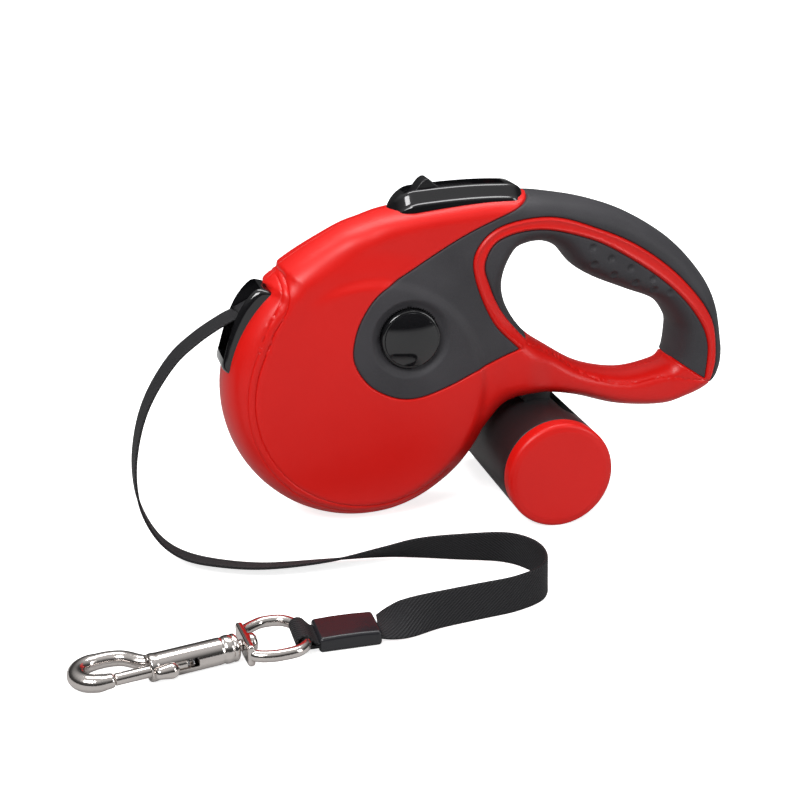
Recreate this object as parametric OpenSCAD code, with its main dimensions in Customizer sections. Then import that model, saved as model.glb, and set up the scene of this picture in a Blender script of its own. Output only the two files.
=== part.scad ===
// Retractable tape leash with a bag dispenser under the handle.
// X runs from the tape nozzle to the handle, Y across the thickness, Z up.
// Z = 0 is the floor that the housing and the dispenser stand on.

/* [Housing] */
// Radius of the round reel housing; the handle's outline grows with it
body_r = 50; // [48:1:60]
// Thickness of the housing across Y
body_t = 31; // [30:0.5:38]
// Thickness of the handle across Y
handle_t = 25; // [23:0.5:28]
// Thickness of the soft grip skins
skin_t = 2; // [1.5:0.1:3]
// Length of the whole housing, which sets where its middle is
housing_l = 189.5; // [180:0.5:230]

/* [Tape and reel] */
// Width of the leash tape
tape_w = 12; // [10:0.5:13]
// Thickness of the leash tape
tape_t = 0.9; // [0.7:0.1:1.1]
// Length of tape that is wound on the reel
wound_l = 4500; // [3000:100:4700]
// Radius of the reel's drum
drum_r = 25.5; // [22:0.5:26]
// Thickness of the reel's plain flange
flange_t = 1.2; // [1:0.1:1.5]
// Thickness of the flange that carries the ratchet teeth
ratchet_t = 2; // [1.8:0.1:2.4]
// Number of ratchet teeth
tooth_count = 20; // [16:4:24]
// Diameter of the reel's axle
axle_d = 6; // [5:0.5:8]

/* [Hub cover] */
// Diameter of the gloss cover cap
cap_d = 21; // [17:0.5:22]
// Diameter of the dish round the cap
dish_d = 28.6; // [26:0.2:30]

/* [Brake] */
// Travel of the button when it is pressed
press = 2; // [1.5:0.1:2.2]
// Travel of the button when it is slid back to lock
lock_travel = 8; // [6:0.5:8.5]
// Width of the button across Y
button_w = 7; // [6:0.5:8]
// Width of the bezel across Y
bezel_w = 18; // [16:0.5:19]

/* [Bag dispenser] */
// Outer diameter of the dispenser tube
tube_d = 39; // [36:0.5:41]
// Length of the dispenser with its cap
tube_l = 70; // [68:1:84]
// Wall of the tube
tube_wall = 1.8; // [1.4:0.1:2.4]
// Height of the red cap's rim
cap_h = 6; // [5:0.5:8]
// Diameter of a new bag roll
roll_d = 31; // [26:0.5:32]
// Width of a bag roll
roll_w = 58; // [50:1:60]

/* [Snap hook] */
// Diameter of the snap's barrel
barrel_d = 8.6; // [8:0.2:10]
// Length of the snap's barrel
barrel_l = 27; // [24:0.5:30]
// Diameter of the hook's wire
hook_wire = 4.4; // [4:0.2:5]
// Diameter of the sliding bolt
bolt_d = 3.6; // [3.2:0.1:4]
// Travel of the bolt
bolt_travel = 8; // [6:0.5:8.5]
// Diameter of the swivel eye's wire
eye_wire = 3.2; // [2.8:0.1:3.6]
// Inner width of the swivel eye, where the tape passes
eye_w = 13.4; // [13.4:0.2:16]

/* [Fits] */
// Radial running clearance of a shaft in its bore
running = 0.05; // [0.02:0.01:0.1]
// Gap between pieces that move past each other
gap = 0.4; // [0.3:0.05:0.6]
// Gap between pieces that are fixed side by side
seam = 0.15; // [0.1:0.05:0.25]

/* [Hidden] */

// The outline of the housing is drawn for a 50 mm body and grows with body_r.
k = body_r / 50;
reel_x = body_r - housing_l / 2;
half_t = body_t / 2;

// Sizes of the reel and of the space it turns in
flange_r = body_r - 5.5;
cavity_r = flange_r + 1;
coil_r = sqrt(drum_r * drum_r + wound_l * tape_t / PI);
slot_half = tape_w / 2 + 0.5;
reel_left = slot_half + ratchet_t;
reel_right = slot_half + flange_t;
side_gap = 0.8;
pocket_y = half_t - 4.1;
cup_end = pocket_y - 0.4;
cover_t = 0.8;
drum_wall = 1.6;
pocket_r = drum_r + 2;
tooth_h = 3;

// Gap between a soft skin and the shell under it
skin_gap = 0.05;

// Centre of the hub cover, seen from the reel's axis
hub = [14.9, 18.5] * k;
seat_y = half_t - 2.1;

// ---------- helpers ----------

// Puts what is drawn from the reel's axis in its place
module at_reel() translate([reel_x, 0, body_r]) children();

// Turns a shape drawn in the XY plane to stand in XZ, its height running along +Y from y0
module stand(y0, h) translate([0, y0 + h, 0]) rotate([90, 0, 0]) linear_extrude(h) children();

// A cylinder along Y from y0, through the point p of the XZ plane
module rod(p, r, y0, h) translate([p[0], y0, p[1]]) rotate([-90, 0, 0]) cylinder(r = r, h = h);

// Point on a smooth curve through p1 and p2
function smooth(p0, p1, p2, p3, t) =
    0.5 * (2 * p1 + (p2 - p0) * t + (2 * p0 - 5 * p1 + 4 * p2 - p3) * t * t
    + (3 * p1 - p0 - 3 * p2 + p3) * t * t * t);

// Smooth open curve through the points p, with n steps between two of them
function curve(p, n) = concat(
    [for (i = [0 : len(p) - 2], j = [0 : n - 1])
        smooth(p[max(i - 1, 0)], p[i], p[i + 1], p[min(i + 2, len(p) - 1)], j / n)],
    [p[len(p) - 1]]);

// ---------- outer form ----------

// Round stations of the outer form: x, z and radius from the reel's axis, then half thickness
top_line = [[-5, 30, 25.5, 12.8], [9, 37, 24, 13], [24, 42, 21.8, 13], [43, 52, 13.5, 12.6]];
neck = [[36, 34, 15, 14], [40, 20, 15.5, 14], [46, 10, 14.2, 13.5]];
grip_t = handle_t / 2;
bar_t = grip_t - 2.2;
handle = [[56.7, 54.5, 10.4, grip_t], [67.3, 55.6, 8.6, grip_t], [74.3, 53.5, 9.5, grip_t],
    [87.2, 46.4, 12.8, grip_t], [103.3, 38.8, 12.5, grip_t], [117.3, 30, 10, grip_t],
    [125.6, 19.4, 9.4, grip_t], [129, 5.2, 10, grip_t], [126.5, -4.5, 10.5, grip_t - 1],
    [112, -12, 7.7, bar_t], [97.7, -10.9, 6.4, bar_t], [82.7, -6.7, 5.9, bar_t],
    [70.8, -2.5, 7.6, bar_t + 0.6], [60.1, 1.2, 12, grip_t]];

// Half section of a disc with a rounded edge: radius r, half thickness t, edge er by et
function edge_section(r, t, er, et) = concat(
    [[0, -t]], [for (a = [-72 : 36 : 72]) [r - er + er * cos(a), (t - et) * sign(a) + et * sin(a)]],
    [[0, t]]);

// One station of the outer form, its surface moved inwards by the given inset
module pebble(s, inset) {
    r = s[2] * k - inset;
    t = s[3] - inset;
    translate([s[0] * k, 0, s[1] * k]) rotate([90, 0, 0])
        rotate_extrude($fn = 18) polygon(edge_section(r, t, min(0.7 * r, 7), 0.8 * t));
}

// The round, slightly domed reel housing
module round_body(inset) {
    r = body_r - inset;
    t = half_t - inset;
    rotate([90, 0, 0]) rotate_extrude($fn = 72) polygon(concat(
        [[0, -t], [0.5 * r, -t + 0.3]],
        [for (a = [-72 : 18 : 72]) [r - 9 + 9 * cos(a), (t - 13.2) * sign(a) + 12 * sin(a)]],
        [[0.5 * r, t - 0.3], [0, t]]));
}

// The whole outer form of the housing and handle
module form(inset = 0) {
    chain = concat(top_line, curve(handle, 2), [neck[2]]);
    round_body(inset);
    for (i = [0 : len(chain) - 2])
        hull() {
            pebble(chain[i], inset);
            pebble(chain[i + 1], inset);
        }
    for (i = [0 : 1])
        hull() {
            pebble(neck[i], inset);
            pebble(neck[i + 1], inset);
        }
    hull() {
        pebble(neck[0], inset);
        pebble(top_line[2], inset);
        pebble(top_line[3], inset);
    }
}

// Outline of the grip panel: drop round the hub, neck, then outside the whole handle
panel_low = [[56, 10.6], [40.2, 4.9], [29.2, 0], [18, -3.4], [9.1, -2.6], [0.1, 2.7], [-5.2, 11.5],
    [-4.9, 20], [-1.5, 28.5], [5, 36.2], [19.7, 44.8], [35.6, 53.7], [53.4, 61.3], [61, 66]];
ring_out = [[132.2, -9.2], [133.6, 1], [130.6, 16], [117.5, 32], [101, 44.5], [84.5, 52.3],
    [66, 57.8], [47.4, 55.4], [38.7, 47], [39.1, 36.4], [46, 21], [56, 10.6]];
ring_in = [[129.6, -7.5], [129.8, 6], [124.5, 17.2], [112.9, 29.5], [96.6, 41], [80.9, 49],
    [62, 53.4], [47.5, 50.8], [42.3, 43], [44.2, 34.6], [50, 24], [59.8, 12.8]];

module grip_zone() scale(k) polygon(concat(curve(panel_low, 4),
    [[61, 80], [155, 80], [155, -13.5], [136, -13.5]], curve(ring_out, 4)));

module pad_zone() scale(k) polygon(concat(curve(ring_in, 4), [[64, 16], [112, 4]]));

// Half space on the near side (side = -1) or the far side (side = 1)
module half(side) translate([-200, side < 0 ? -100 : 0, -200]) cube([600, 100, 400]);

// ---------- housing ----------

// Case screws, seen from the reel's axis
screw_at = [[4, 51], [51, 0], [88, 48], [126.5, 2], [89, -8.6]] * k;
screw_r = 1.5;
screw_head_r = 2.7;
screw_half = 8;
head_y = 5.5;

nozzle_half = slot_half + 1.8;
exit_pt = [-43, 28.4] * k;
mouth_h = 5;
nozzle_in_r = cavity_r + 0.8;

// Side view of the nozzle
module nozzle_outline(grow = 0) offset(delta = grow) polygon(concat(
    curve([[-33, 37.5], [-37, 38], [-41.5, 33.6], [-44.6, 28.2], [-46.8, 22.5], [-48.5, 17],
        [-49.9, 11.5], [-48.4, 9.2]] * k, 4),
    [for (a = [169 : -6 : 131]) nozzle_in_r * [cos(a), sin(a)]]));

// Seat line of the brake bezel along the top of the housing
bezel_x = [9.6, 58.7] * k;
bezel_z = [62.5, 66] * k;
module bezel_outline(grow = 0) offset(delta = grow) polygon([
    [bezel_x[0], bezel_z[0] - 3], [bezel_x[0] + 5, bezel_z[0] + 3.4], [bezel_x[0] + 12, bezel_z[0] + 5.2],
    [bezel_x[1] - 10, bezel_z[1] + 3], [bezel_x[1] - 2, bezel_z[1] + 1.2], [bezel_x[1], bezel_z[1] - 0.8],
    [bezel_x[1] - 5, bezel_z[1] - 3.5], [bezel_x[0] + 8, bezel_z[0] - 3.5]]);

// Pawl and plunger, seen from the reel's axis
pawl_angle = 63;
tip_r = flange_r + 0.6;
tip = tip_r * [cos(pawl_angle), sin(pawl_angle)];
pivot = tip + [19.5, 9];
plunger_x = pivot[0] - 14;
arm_top = pivot[1] + 2;
pin_r = 1.5;
pin_l = 5.2;
pawl_y = -(slot_half + ratchet_t / 2);
plunger_y = pawl_y - ratchet_t / 2;
plunger_w = 3 - plunger_y;
stem_top = bezel_z[0] - 3.7 + 1.5;

tube_r = tube_d / 2;
tube_at = [64.8 * k, tube_r - body_r];
rail_w = 10;
rail_top = tube_r + 6;
rail_l = 16;

// Everything that both shells leave room for
module housing_voids() {
    // reel, its spring cup and its left pocket
    rod([0, 0], cavity_r, -(reel_left + side_gap), reel_left + side_gap + reel_right + side_gap, $fn = 72);
    difference() {
        rod([0, 0], pocket_r, -pocket_y, 2 * pocket_y, $fn = 60);
        rod([0, 0], axle_d / 2 + 2.5, -pocket_y - 1, pocket_y - reel_left - 0.2 + 1, $fn = 32);
    }
    rod([0, 0], axle_d / 2 + seam, -pocket_y - 1.6, 2 * pocket_y + 3.2, $fn = 32);
    // nozzle and the slot that the tape runs through
    stand(-nozzle_half - seam, 2 * (nozzle_half + seam)) difference() {
        nozzle_outline(seam);
        circle(r = cavity_r - 0.5, $fn = 72);
    }
    // channel of the tape between the reel and the nozzle
    translate([exit_pt[0], -slot_half, exit_pt[1]]) rotate([0, -lead_tilt, 0])
        translate([-lead_run - 3, 0, -tape_t / 2 - gap]) cube([lead_run + 3, 2 * slot_half, tape_t + 2 * gap]);
    // brake: bezel seat, plunger shaft and pawl chamber
    stand(-bezel_w / 2 - seam, bezel_w + 2 * seam) bezel_outline(seam);
    translate([plunger_x - 7, plunger_y - 0.7, arm_top - 5.5]) cube([22, plunger_w + 2.5, stem_top - arm_top + 9]);
    translate([slot_x[0] - 1, -foot_w / 2 - gap, foot_z - press - gap])
        cube([slot_x[1] - slot_x[0] + 2, foot_w + 2 * gap, 12]);
    translate([tip[0] - 5, pawl_y - ratchet_t / 2 - gap, tip[1] - 4]) cube([21, ratchet_t + 2 * gap, 13]);
    rod(pivot, 5, pawl_y - ratchet_t / 2 - gap, ratchet_t + 2 * gap, $fn = 24);
    rod(pivot, pin_r + seam, pawl_y - pin_l / 2 - seam, pin_l + 2 * seam, $fn = 24);
    // screws
    for (p = screw_at) {
        rod(p, screw_r + seam, -screw_half - seam, 2 * screw_half, $fn = 16);
        rod(p, screw_head_r + seam, head_y - seam, 20, $fn = 20);
    }
    // rail of the bag dispenser
    translate([tube_at[0] - rail_w / 2 - seam, -rail_l / 2 - seam, tube_at[1]])
        cube([rail_w + 2 * seam, rail_l + 2 * seam, rail_top + seam]);
    rod(tube_at, tube_r + 0.6, -60, 120, $fn = 60);
}

// Two fine styling grooves round the open side of the reel housing: radius and depth under the face
groove_at = [1.5, -1.5] * k;
module grooves() for (g = [[40.5, 2.3], [43.6, 2.9]])
    for (side = [-1, 1])
        stand(side < 0 ? -60 : half_t - g[1], 60 - half_t + g[1]) difference() {
            translate(groove_at) difference() {
                circle(r = g[0] * k + 0.4, $fn = 96);
                circle(r = g[0] * k - 0.4, $fn = 96);
            }
            grip_zone();
            translate([-27, 20] * k) square([200, 80]);
            translate([30, -80] * k) square([200, 200]);
        }

module shell(side) color("#d8201c") at_reel() difference() {
    intersection() {
        form();
        half(side);
    }
    // soft skins
    difference() {
        stand(-60, 120) union() {
            grip_zone();
            pad_zone();
        }
        form(skin_t);
    }
    // seat of the hub cover
    rod(hub, cap_d / 2 + seam, side < 0 ? -half_t - 5 : seat_y, half_t + 5 - seat_y, $fn = 48);
    housing_voids();
    grooves();
    // parting line between the shells
    translate([-200, side < 0 ? -0.05 : -1, -200]) cube([600, 1.05, 400]);
}

module shell_left() shell(-1);

module shell_right() shell(1);

module grip_panel(side) color("#2c2c2e") at_reel() difference() {
    intersection() {
        form();
        half(side);
        stand(-60, 120) offset(delta = -seam) grip_zone();
    }
    form(skin_t - skin_gap);
    rod(hub, cap_d / 2 + seam, -60, 120, $fn = 48);
    // dish round the cover cap
    translate([hub[0], side * (half_t + 0.6), hub[1]]) rotate([side * 90, 0, 0])
        cylinder(r1 = dish_d / 2 + 1, r2 = cap_d / 2 + 0.6, h = 2.2, $fn = 48);
    for (p = screw_at) rod(p, screw_head_r + seam, -screw_half * (side < 0 ? 0 : 1), 40, $fn = 20);
    stand(-bezel_w / 2 - seam, bezel_w + 2 * seam) bezel_outline(seam);
    translate([-200, side < 0 ? -0.05 : -1, -200]) cube([600, 1.05, 400]);
}

module grip_panel_left() grip_panel(-1);

module grip_panel_right() grip_panel(1);

module finger_pad() color("#2c2c2e") at_reel() difference() {
    intersection() {
        form();
        stand(-60, 120) offset(delta = -seam) pad_zone();
    }
    form(skin_t - skin_gap);
}

// Domed cap on a short seat, along Y
module cover_cap(side) color("#0c0c0e") at_reel() translate([hub[0], side * seat_y, hub[1]])
    rotate([side * -90, 0, 0]) {
        rise = 1.8;
        edge = 2.4;
        dome_r = (cap_d * cap_d / 4 + rise * rise) / (2 * rise);
        translate([0, 0, seam]) cylinder(d = cap_d, h = edge - seam, $fn = 64);
        translate([0, 0, edge]) intersection() {
            translate([0, 0, rise - dome_r]) sphere(r = dome_r, $fn = 96);
            cylinder(d = cap_d, h = rise, $fn = 64);
        }
    }

module cover_cap_left() cover_cap(-1);

module cover_cap_right() cover_cap(1);

module case_screws() color("#8a8c90") at_reel() for (p = screw_at) {
    rod(p, screw_r, -screw_half, screw_half + head_y, $fn = 24);
    rod(p, screw_head_r, head_y, 1.8, $fn = 32);
}

// ---------- tape nozzle ----------

// Point where the tape leaves the coil, on the line that touches the coil and meets the exit
lead_r = coil_r + tape_t / 2 + gap;
exit_len = norm(exit_pt);
lead_angle = atan2(exit_pt[1], exit_pt[0]) - acos(lead_r / exit_len);
lead_start = lead_r * [cos(lead_angle), sin(lead_angle)];
lead_run = norm(exit_pt - lead_start);
lead_tilt = atan2(exit_pt[1] - lead_start[1], exit_pt[0] - lead_start[0]);
guide_r = 1.5;
guide_at = exit_pt + (guide_r + tape_t / 2 + seam) * [cos(lead_tilt + 90), sin(lead_tilt + 90)];

module nozzle() color("#101012") at_reel() difference() {
    stand(-nozzle_half, 2 * nozzle_half) nozzle_outline();
    // mouth, along the tape
    translate([exit_pt[0], -slot_half, exit_pt[1]]) rotate([0, -lead_tilt, 0])
        translate([-14, 0, -mouth_h / 2 + 0.6]) cube([30, 2 * slot_half, mouth_h]);
    // trough that lets the tape swing up and down
    stand(-slot_half, 2 * slot_half) difference() {
        rotate(133) square([80, 80]);
        rotate(164) square([80, 80]);
        circle(r = nozzle_in_r + 1.4, $fn = 96);
    }
    rod(guide_at, guide_r + running, -nozzle_half + 1, 2 * nozzle_half - 2, $fn = 32);
}

module tape_guide_pin() color("#b8babd") at_reel()
    rod(guide_at, guide_r, -nozzle_half + 1 + seam, 2 * (nozzle_half - 1 - seam), $fn = 32);

module tape_lead() color("#18181a") at_reel()
    translate([lead_start[0], -tape_w / 2, lead_start[1]]) rotate([0, -lead_tilt, 0])
        translate([0, 0, -tape_t / 2]) cube([lead_run, tape_w, tape_t]);

// ---------- brake ----------

slot_x = [bezel_x[0] + 6, bezel_x[1] - 7];
bezel_low = bezel_z[0] - 4;
bezel_top = bezel_z[1] + 3.2;
module brake_bezel() color("#141416") at_reel() difference() {
    w = bezel_w / 2;
    intersection() {
        stand(-w, bezel_w) bezel_outline();
        // flanks that lean inwards
        translate([bezel_x[0] - 1, 0, 0]) rotate([90, 0, 90]) linear_extrude(bezel_x[1] - bezel_x[0] + 2)
            polygon([[-w, bezel_low], [w, bezel_low], [w, bezel_top - 4.6], [w - 3.2, bezel_top],
                [3.2 - w, bezel_top], [-w, bezel_top - 4.6]]);
        // corners cut in plan
        translate([0, 0, bezel_low]) linear_extrude(20)
            polygon([[bezel_x[0], 3.6 - w], [bezel_x[0] + 7, -w], [bezel_x[1] - 7, -w], [bezel_x[1], 3.6 - w],
                [bezel_x[1], w - 3.6], [bezel_x[1] - 7, w], [bezel_x[0] + 7, w], [bezel_x[0], w - 3.6]]);
    }
    // slot of the button
    translate([slot_x[0], -button_w / 2 - gap, bezel_low - 1])
        cube([slot_x[1] - slot_x[0], button_w + 2 * gap, 30]);
    // pocket of the button's foot
    translate([slot_x[0], -foot_w / 2 - gap, bezel_low - 1])
        cube([slot_x[1] - slot_x[0], foot_w + 2 * gap, foot_z + foot_t + gap / 2 - bezel_low + 1]);
    // room for the plunger's head
    translate([plunger_x - 5 - gap, plunger_y - gap, bezel_low - 1])
        cube([18 + 2 * gap, plunger_w + 2 * gap, stem_top - bezel_low + 1 + seam]);
}

// Thumb peak at the front, flat ribbed tail behind it, on a foot that the bezel holds down
foot_z = stem_top + seam;
foot_w = button_w + 2.6;
foot_t = 1.2;
peak = [23.9, 71.7] * k;
module brake_button() color("#1b1b1d") at_reel() {
    tail_end = slot_x[1] - lock_travel - gap;
    front = slot_x[0] + gap;
    tail_z = peak[1] - 4.6;
    stand(-button_w / 2, button_w) polygon(concat(
        [[front, foot_z], [front, peak[1] - 6.8]],
        curve([[front + 2.4, peak[1] - 5.4], [peak[0] - 2.4, peak[1] - 1.2], peak,
            [peak[0] + 2.2, peak[1] - 1.6], [peak[0] + 5, tail_z]], 4),
        [[tail_end - 1.5, tail_z], [tail_end, tail_z - 1.2], [tail_end, foot_z]]));
    translate([front, -foot_w / 2, foot_z]) cube([tail_end - front, foot_w, foot_t]);
    for (i = [0 : 7])
        translate([peak[0] + 6.4 + 1.15 * i, -button_w / 2 + 0.8, tail_z])
            cube([0.55, button_w - 1.6, 0.35]);
}

module brake_plunger() color("#2a2a2c") at_reel() {
    translate([plunger_x - 3, plunger_y, arm_top + gap / 2]) cube([3.5, plunger_w, stem_top - arm_top - gap / 2]);
    translate([plunger_x - 5, plunger_y, stem_top - 2]) cube([18, plunger_w, 2]);
}

module brake_pawl() color("#9a9da1") at_reel() stand(pawl_y - ratchet_t / 2, ratchet_t) difference() {
    union() {
        translate(pivot) circle(r = 3.2, $fn = 36);
        polygon([pivot + [0, 2.6], [plunger_x + 2, arm_top], [plunger_x - 3, arm_top], tip + [-0.4, 5],
            tip + [-0.9, 0.5], tip + [0.7, 0.2], tip + [3, 4.4], [plunger_x, arm_top - 4.4], pivot + [0, -2.8]]);
    }
    translate(pivot) circle(r = pin_r + running, $fn = 36);
}

module pawl_pin() color("#b8babd") at_reel() rod(pivot, pin_r, pawl_y - pin_l / 2, pin_l, $fn = 36);

// Coil spring along Z from z0, drawn round its own axis
module coil_spring(r, wire, len, turns) {
    pitch = (len - wire) / turns;
    rings = turns * 9;
    function ring(i) = [for (j = [0 : 4]) let (a = 40 * i, b = 72 * j, q = r + wire / 2 * cos(b))
        [q * cos(a), q * sin(a), wire / 2 + pitch * i / 9 + wire / 2 * sin(b)]];
    polyhedron([for (i = [0 : rings]) each ring(i)],
        concat([[4, 3, 2, 1, 0]],
            [for (i = [0 : rings - 1], j = [0 : 4])
                [5 * i + j, 5 * i + (j + 1) % 5, 5 * (i + 1) + (j + 1) % 5, 5 * (i + 1) + j]],
            [[for (j = [0 : 4]) 5 * rings + j]]));
}

spring_at = [plunger_x + 9, 0];
spring_floor = arm_top - 5.5;
spring_len = stem_top - 2 - spring_floor;
module brake_spring() color("#b8babd") at_reel() translate([spring_at[0], spring_at[1], spring_floor])
    coil_spring(2, 0.6, spring_len, 6);

// ---------- reel ----------

module reel() color("#3a3a3d") at_reel() difference() {
    union() {
        rod([0, 0], drum_r, -reel_left, reel_left + cup_end, $fn = 96);
        rod([0, 0], flange_r, slot_half, flange_t, $fn = 96);
        rod([0, 0], flange_r - tooth_h, -reel_left, ratchet_t, $fn = 96);
        for (i = [0 : tooth_count - 1])
            rotate([0, 360 / tooth_count * (i + 0.5) - pawl_angle, 0])
                stand(-reel_left, ratchet_t) polygon([[flange_r - tooth_h - 0.5, -3.2],
                    [flange_r, -1.1], [flange_r, 1.1], [flange_r - tooth_h - 0.5, 1.8]]);
    }
    // spring cup, open to the far side, round a hub with the bore
    difference() {
        rod([0, 0], drum_r - drum_wall, -slot_half, 60, $fn = 96);
        rod([0, 0], axle_d / 2 + 2, -slot_half - 1, 3, $fn = 48);
    }
    rod([0, 0], axle_d / 2 + running, -60, 120, $fn = 64);
}

module spring_cover() color("#4a4a4e") at_reel() difference() {
    rod([0, 0], drum_r - drum_wall - seam, cup_end - cover_t - 0.2, cover_t, $fn = 96);
    rod([0, 0], axle_d / 2 + running, -60, 120, $fn = 64);
}

// Flat spiral strip between the axle and the cup's wall
spring_turns = 9;
spring_t = 0.5;
spring_in = axle_d / 2 + gap + 0.3;
spring_out = drum_r - drum_wall - spring_t - 0.3;
spring_steps = spring_turns * 24;
function spiral_r(i) = spring_in + (spring_out - spring_in) * i / spring_steps;
function spiral(i, extra) = (spiral_r(i) + extra) * [cos(15 * i), sin(15 * i)];
module mainspring() color("#74777c") at_reel()
    stand(-slot_half + 2.6, cup_end - cover_t + slot_half - 3.4)
        polygon(concat([for (i = [0 : spring_steps]) spiral(i, 0)],
            [for (i = [spring_steps : -1 : 0]) spiral(i, spring_t)]));

module axle() color("#c4c6c9") at_reel()
    rod([0, 0], axle_d / 2, -pocket_y - 1.4, 2 * pocket_y + 2.8, $fn = 64);

module tape_coil() color("#18181a") at_reel() difference() {
    rod([0, 0], coil_r, -tape_w / 2, tape_w, $fn = 96);
    rod([0, 0], drum_r + seam / 3, -60, 120, $fn = 96);
}

// ---------- bag dispenser ----------

cap_y = -tube_l / 2;
tube_y = cap_y + cap_h;
bottom_t = 2;
plug_wall = 1.6;
roll_y = tube_l / 2 - bottom_t - gap - roll_w;
plug_l = min(6, roll_y - tube_y - gap);
slot_w = 6.4;
slot_l = 34;
slot_from = 10;
slot_angle = 62;

module dispenser_tube() color("#1a1a1c") at_reel() difference() {
    union() {
        rod(tube_at, tube_r, tube_y + seam, tube_l - cap_h - seam, $fn = 96);
        translate([tube_at[0] - rail_w / 2, -rail_l / 2, tube_at[1] + tube_r - 3])
            cube([rail_w, rail_l, rail_top - tube_r + 3]);
    }
    rod(tube_at, tube_r - tube_wall, tube_y - 1, tube_l - cap_h - bottom_t + 1, $fn = 96);
    // slot that the bags are pulled through
    translate([tube_at[0], tube_y + slot_from, tube_at[1]]) rotate([0, 90 - slot_angle, 0])
        translate([-slot_w / 2, 0, tube_r - 4]) cube([slot_w, slot_l, 8]);
}

module dispenser_cap() color("#d8201c") at_reel() {
    translate([tube_at[0], tube_y, tube_at[1]]) rotate([90, 0, 0]) rotate_extrude($fn = 96)
        polygon(concat([[0, 0], [tube_r, 0]],
            [for (a = [0 : 15 : 90]) [tube_r - 2 + 2 * cos(a), cap_h - 2 + 2 * sin(a)]], [[0, cap_h]]));
    difference() {
        rod(tube_at, tube_r - tube_wall - gap, tube_y - 1, plug_l + 1, $fn = 96);
        rod(tube_at, tube_r - tube_wall - gap - plug_wall, tube_y, plug_l + 2, $fn = 96);
    }
}

core_r = 6;
core_wall = 1;
roll_at = [tube_at[0], tube_at[1] - (tube_r - tube_wall - roll_d / 2 - gap)];
module bag_roll() color("#3f8f5a") at_reel() difference() {
    rod(roll_at, roll_d / 2, roll_y, roll_w, $fn = 64);
    rod(roll_at, core_r + seam / 3, roll_y - 1, roll_w + 2, $fn = 48);
}

module bag_core() color("#b59a72") at_reel() difference() {
    rod(roll_at, core_r, roll_y, roll_w, $fn = 48);
    rod(roll_at, core_r - core_wall, roll_y - 1, roll_w + 2, $fn = 48);
}

// ---------- free tape ----------

// Middle of the tape from the nozzle to the sleeve: x, y, z, then the turn of its width,
// which is 0 where the width lies along Y and 90 where the tape stands on its edge
route = [[-88, 0, 78.3, 0], [-93.5, -1, 76.2, 0], [-102.5, -3, 71.5, 0], [-111, -6, 65.5, 0],
    [-119, -10, 56, 0], [-124, -13, 46, 0], [-127, -17, 34, 2], [-127, -20, 23, 4],
    [-124.5, -23, 14.5, 6], [-120, -25.5, 7.5, 9], [-113.5, -29.5, 3.6, 12], [-104, -36, 2.6, 15],
    [-88.5, -43, 2.7, 18], [-68, -45.5, 3.2, 24], [-50, -47, 4.6, 40], [-38, -48.5, 5.4, 56],
    [-24, -52.5, 6, 70], [-9, -57.5, 6.3, 82], [-2, -66, 6.5, 90], [-1, -76, 6.5, 94],
    [-5.5, -85, 6.5, 97], [-16, -90, 6.5, 98], [-30, -92, 6.5, 100], [-44, -93.5, 6.2, 104],
    [-52.5, -94, 5.2, 124], [-57.5, -93.5, 4, 150], [-62, -92.7, 2.9, 176]];

function unit(v) = v / norm(v);
line = curve(route, 3);
function at(i) = [for (j = [0 : 2]) line[i][j]];
function along(i) = unit(at(min(i + 1, len(line) - 1)) - at(max(i - 1, 0)));
function width_dir(i) = let (w = [0, -cos(line[i][3]), sin(line[i][3])], t = along(i)) unit(w - (w * t) * t);

// Flat section with rounded edges, as eight points
function tape_ring(i) = let (p = at(i), w = width_dir(i), n = cross(along(i), w), a = tape_w / 2, b = tape_t / 2)
    [for (q = [[-a, -b / 3], [-a, b / 3], [-a + b, b], [a - b, b], [a, b / 3], [a, -b / 3], [a - b, -b], [-a + b, -b]])
        p + q[0] * w + q[1] * n];

module tape_free() color("#18181a") {
    rings = len(line);
    polyhedron([for (i = [0 : rings - 1]) each tape_ring(i)],
        concat([[7, 6, 5, 4, 3, 2, 1, 0]],
            [for (i = [0 : rings - 2], j = [0 : 7])
                [8 * i + j, 8 * i + (j + 1) % 8, 8 * (i + 1) + (j + 1) % 8, 8 * (i + 1) + j]],
            [[for (j = [0 : 7]) 8 * (rings - 1) + j]]));
}

// ---------- sleeve, eye and snap hook ----------

// The sleeve lies along X; the eye turns from it by snap_turn round the eye's bar,
// and the snap by barrel_turn more round the eye's base
sleeve_end = [-62.2, -92.7];
sleeve_l = 19.5;
sleeve_w = tape_w + 1.8;
sleeve_t = 5.2;
floor_gap = 0.1;
eye_bar = [sleeve_end[0] - sleeve_l - 4.6, sleeve_end[1] - 1];
snap_turn = 5;
barrel_turn = 6.5;
snap_z = barrel_d / 2 + floor_gap;
module at_snap() translate([eye_bar[0], eye_bar[1], snap_z]) rotate([0, 0, snap_turn]) children();

eye_base = -17.4;
module at_hook() at_snap() translate([eye_base, 0, 0]) rotate([0, 0, barrel_turn]) translate([-eye_base, 0, 0])
    children();

// A cylinder along X from x0
module bar(x0, r, l, y = 0, n = 32) translate([x0, y, 0]) rotate([0, 90, 0]) cylinder(r = r, h = l, $fn = n);

module tape_sleeve() color("#242326")
    translate([sleeve_end[0] - sleeve_l, sleeve_end[1] - sleeve_w / 2, floor_gap]) difference() {
        cube([sleeve_l, sleeve_w, sleeve_t]);
        translate([-1, (sleeve_w - tape_w) / 2 - seam, sleeve_t / 2 - tape_t - seam])
            cube([sleeve_l + 2, tape_w + 2 * seam, 2 * tape_t + 2 * seam]);
    }

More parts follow.
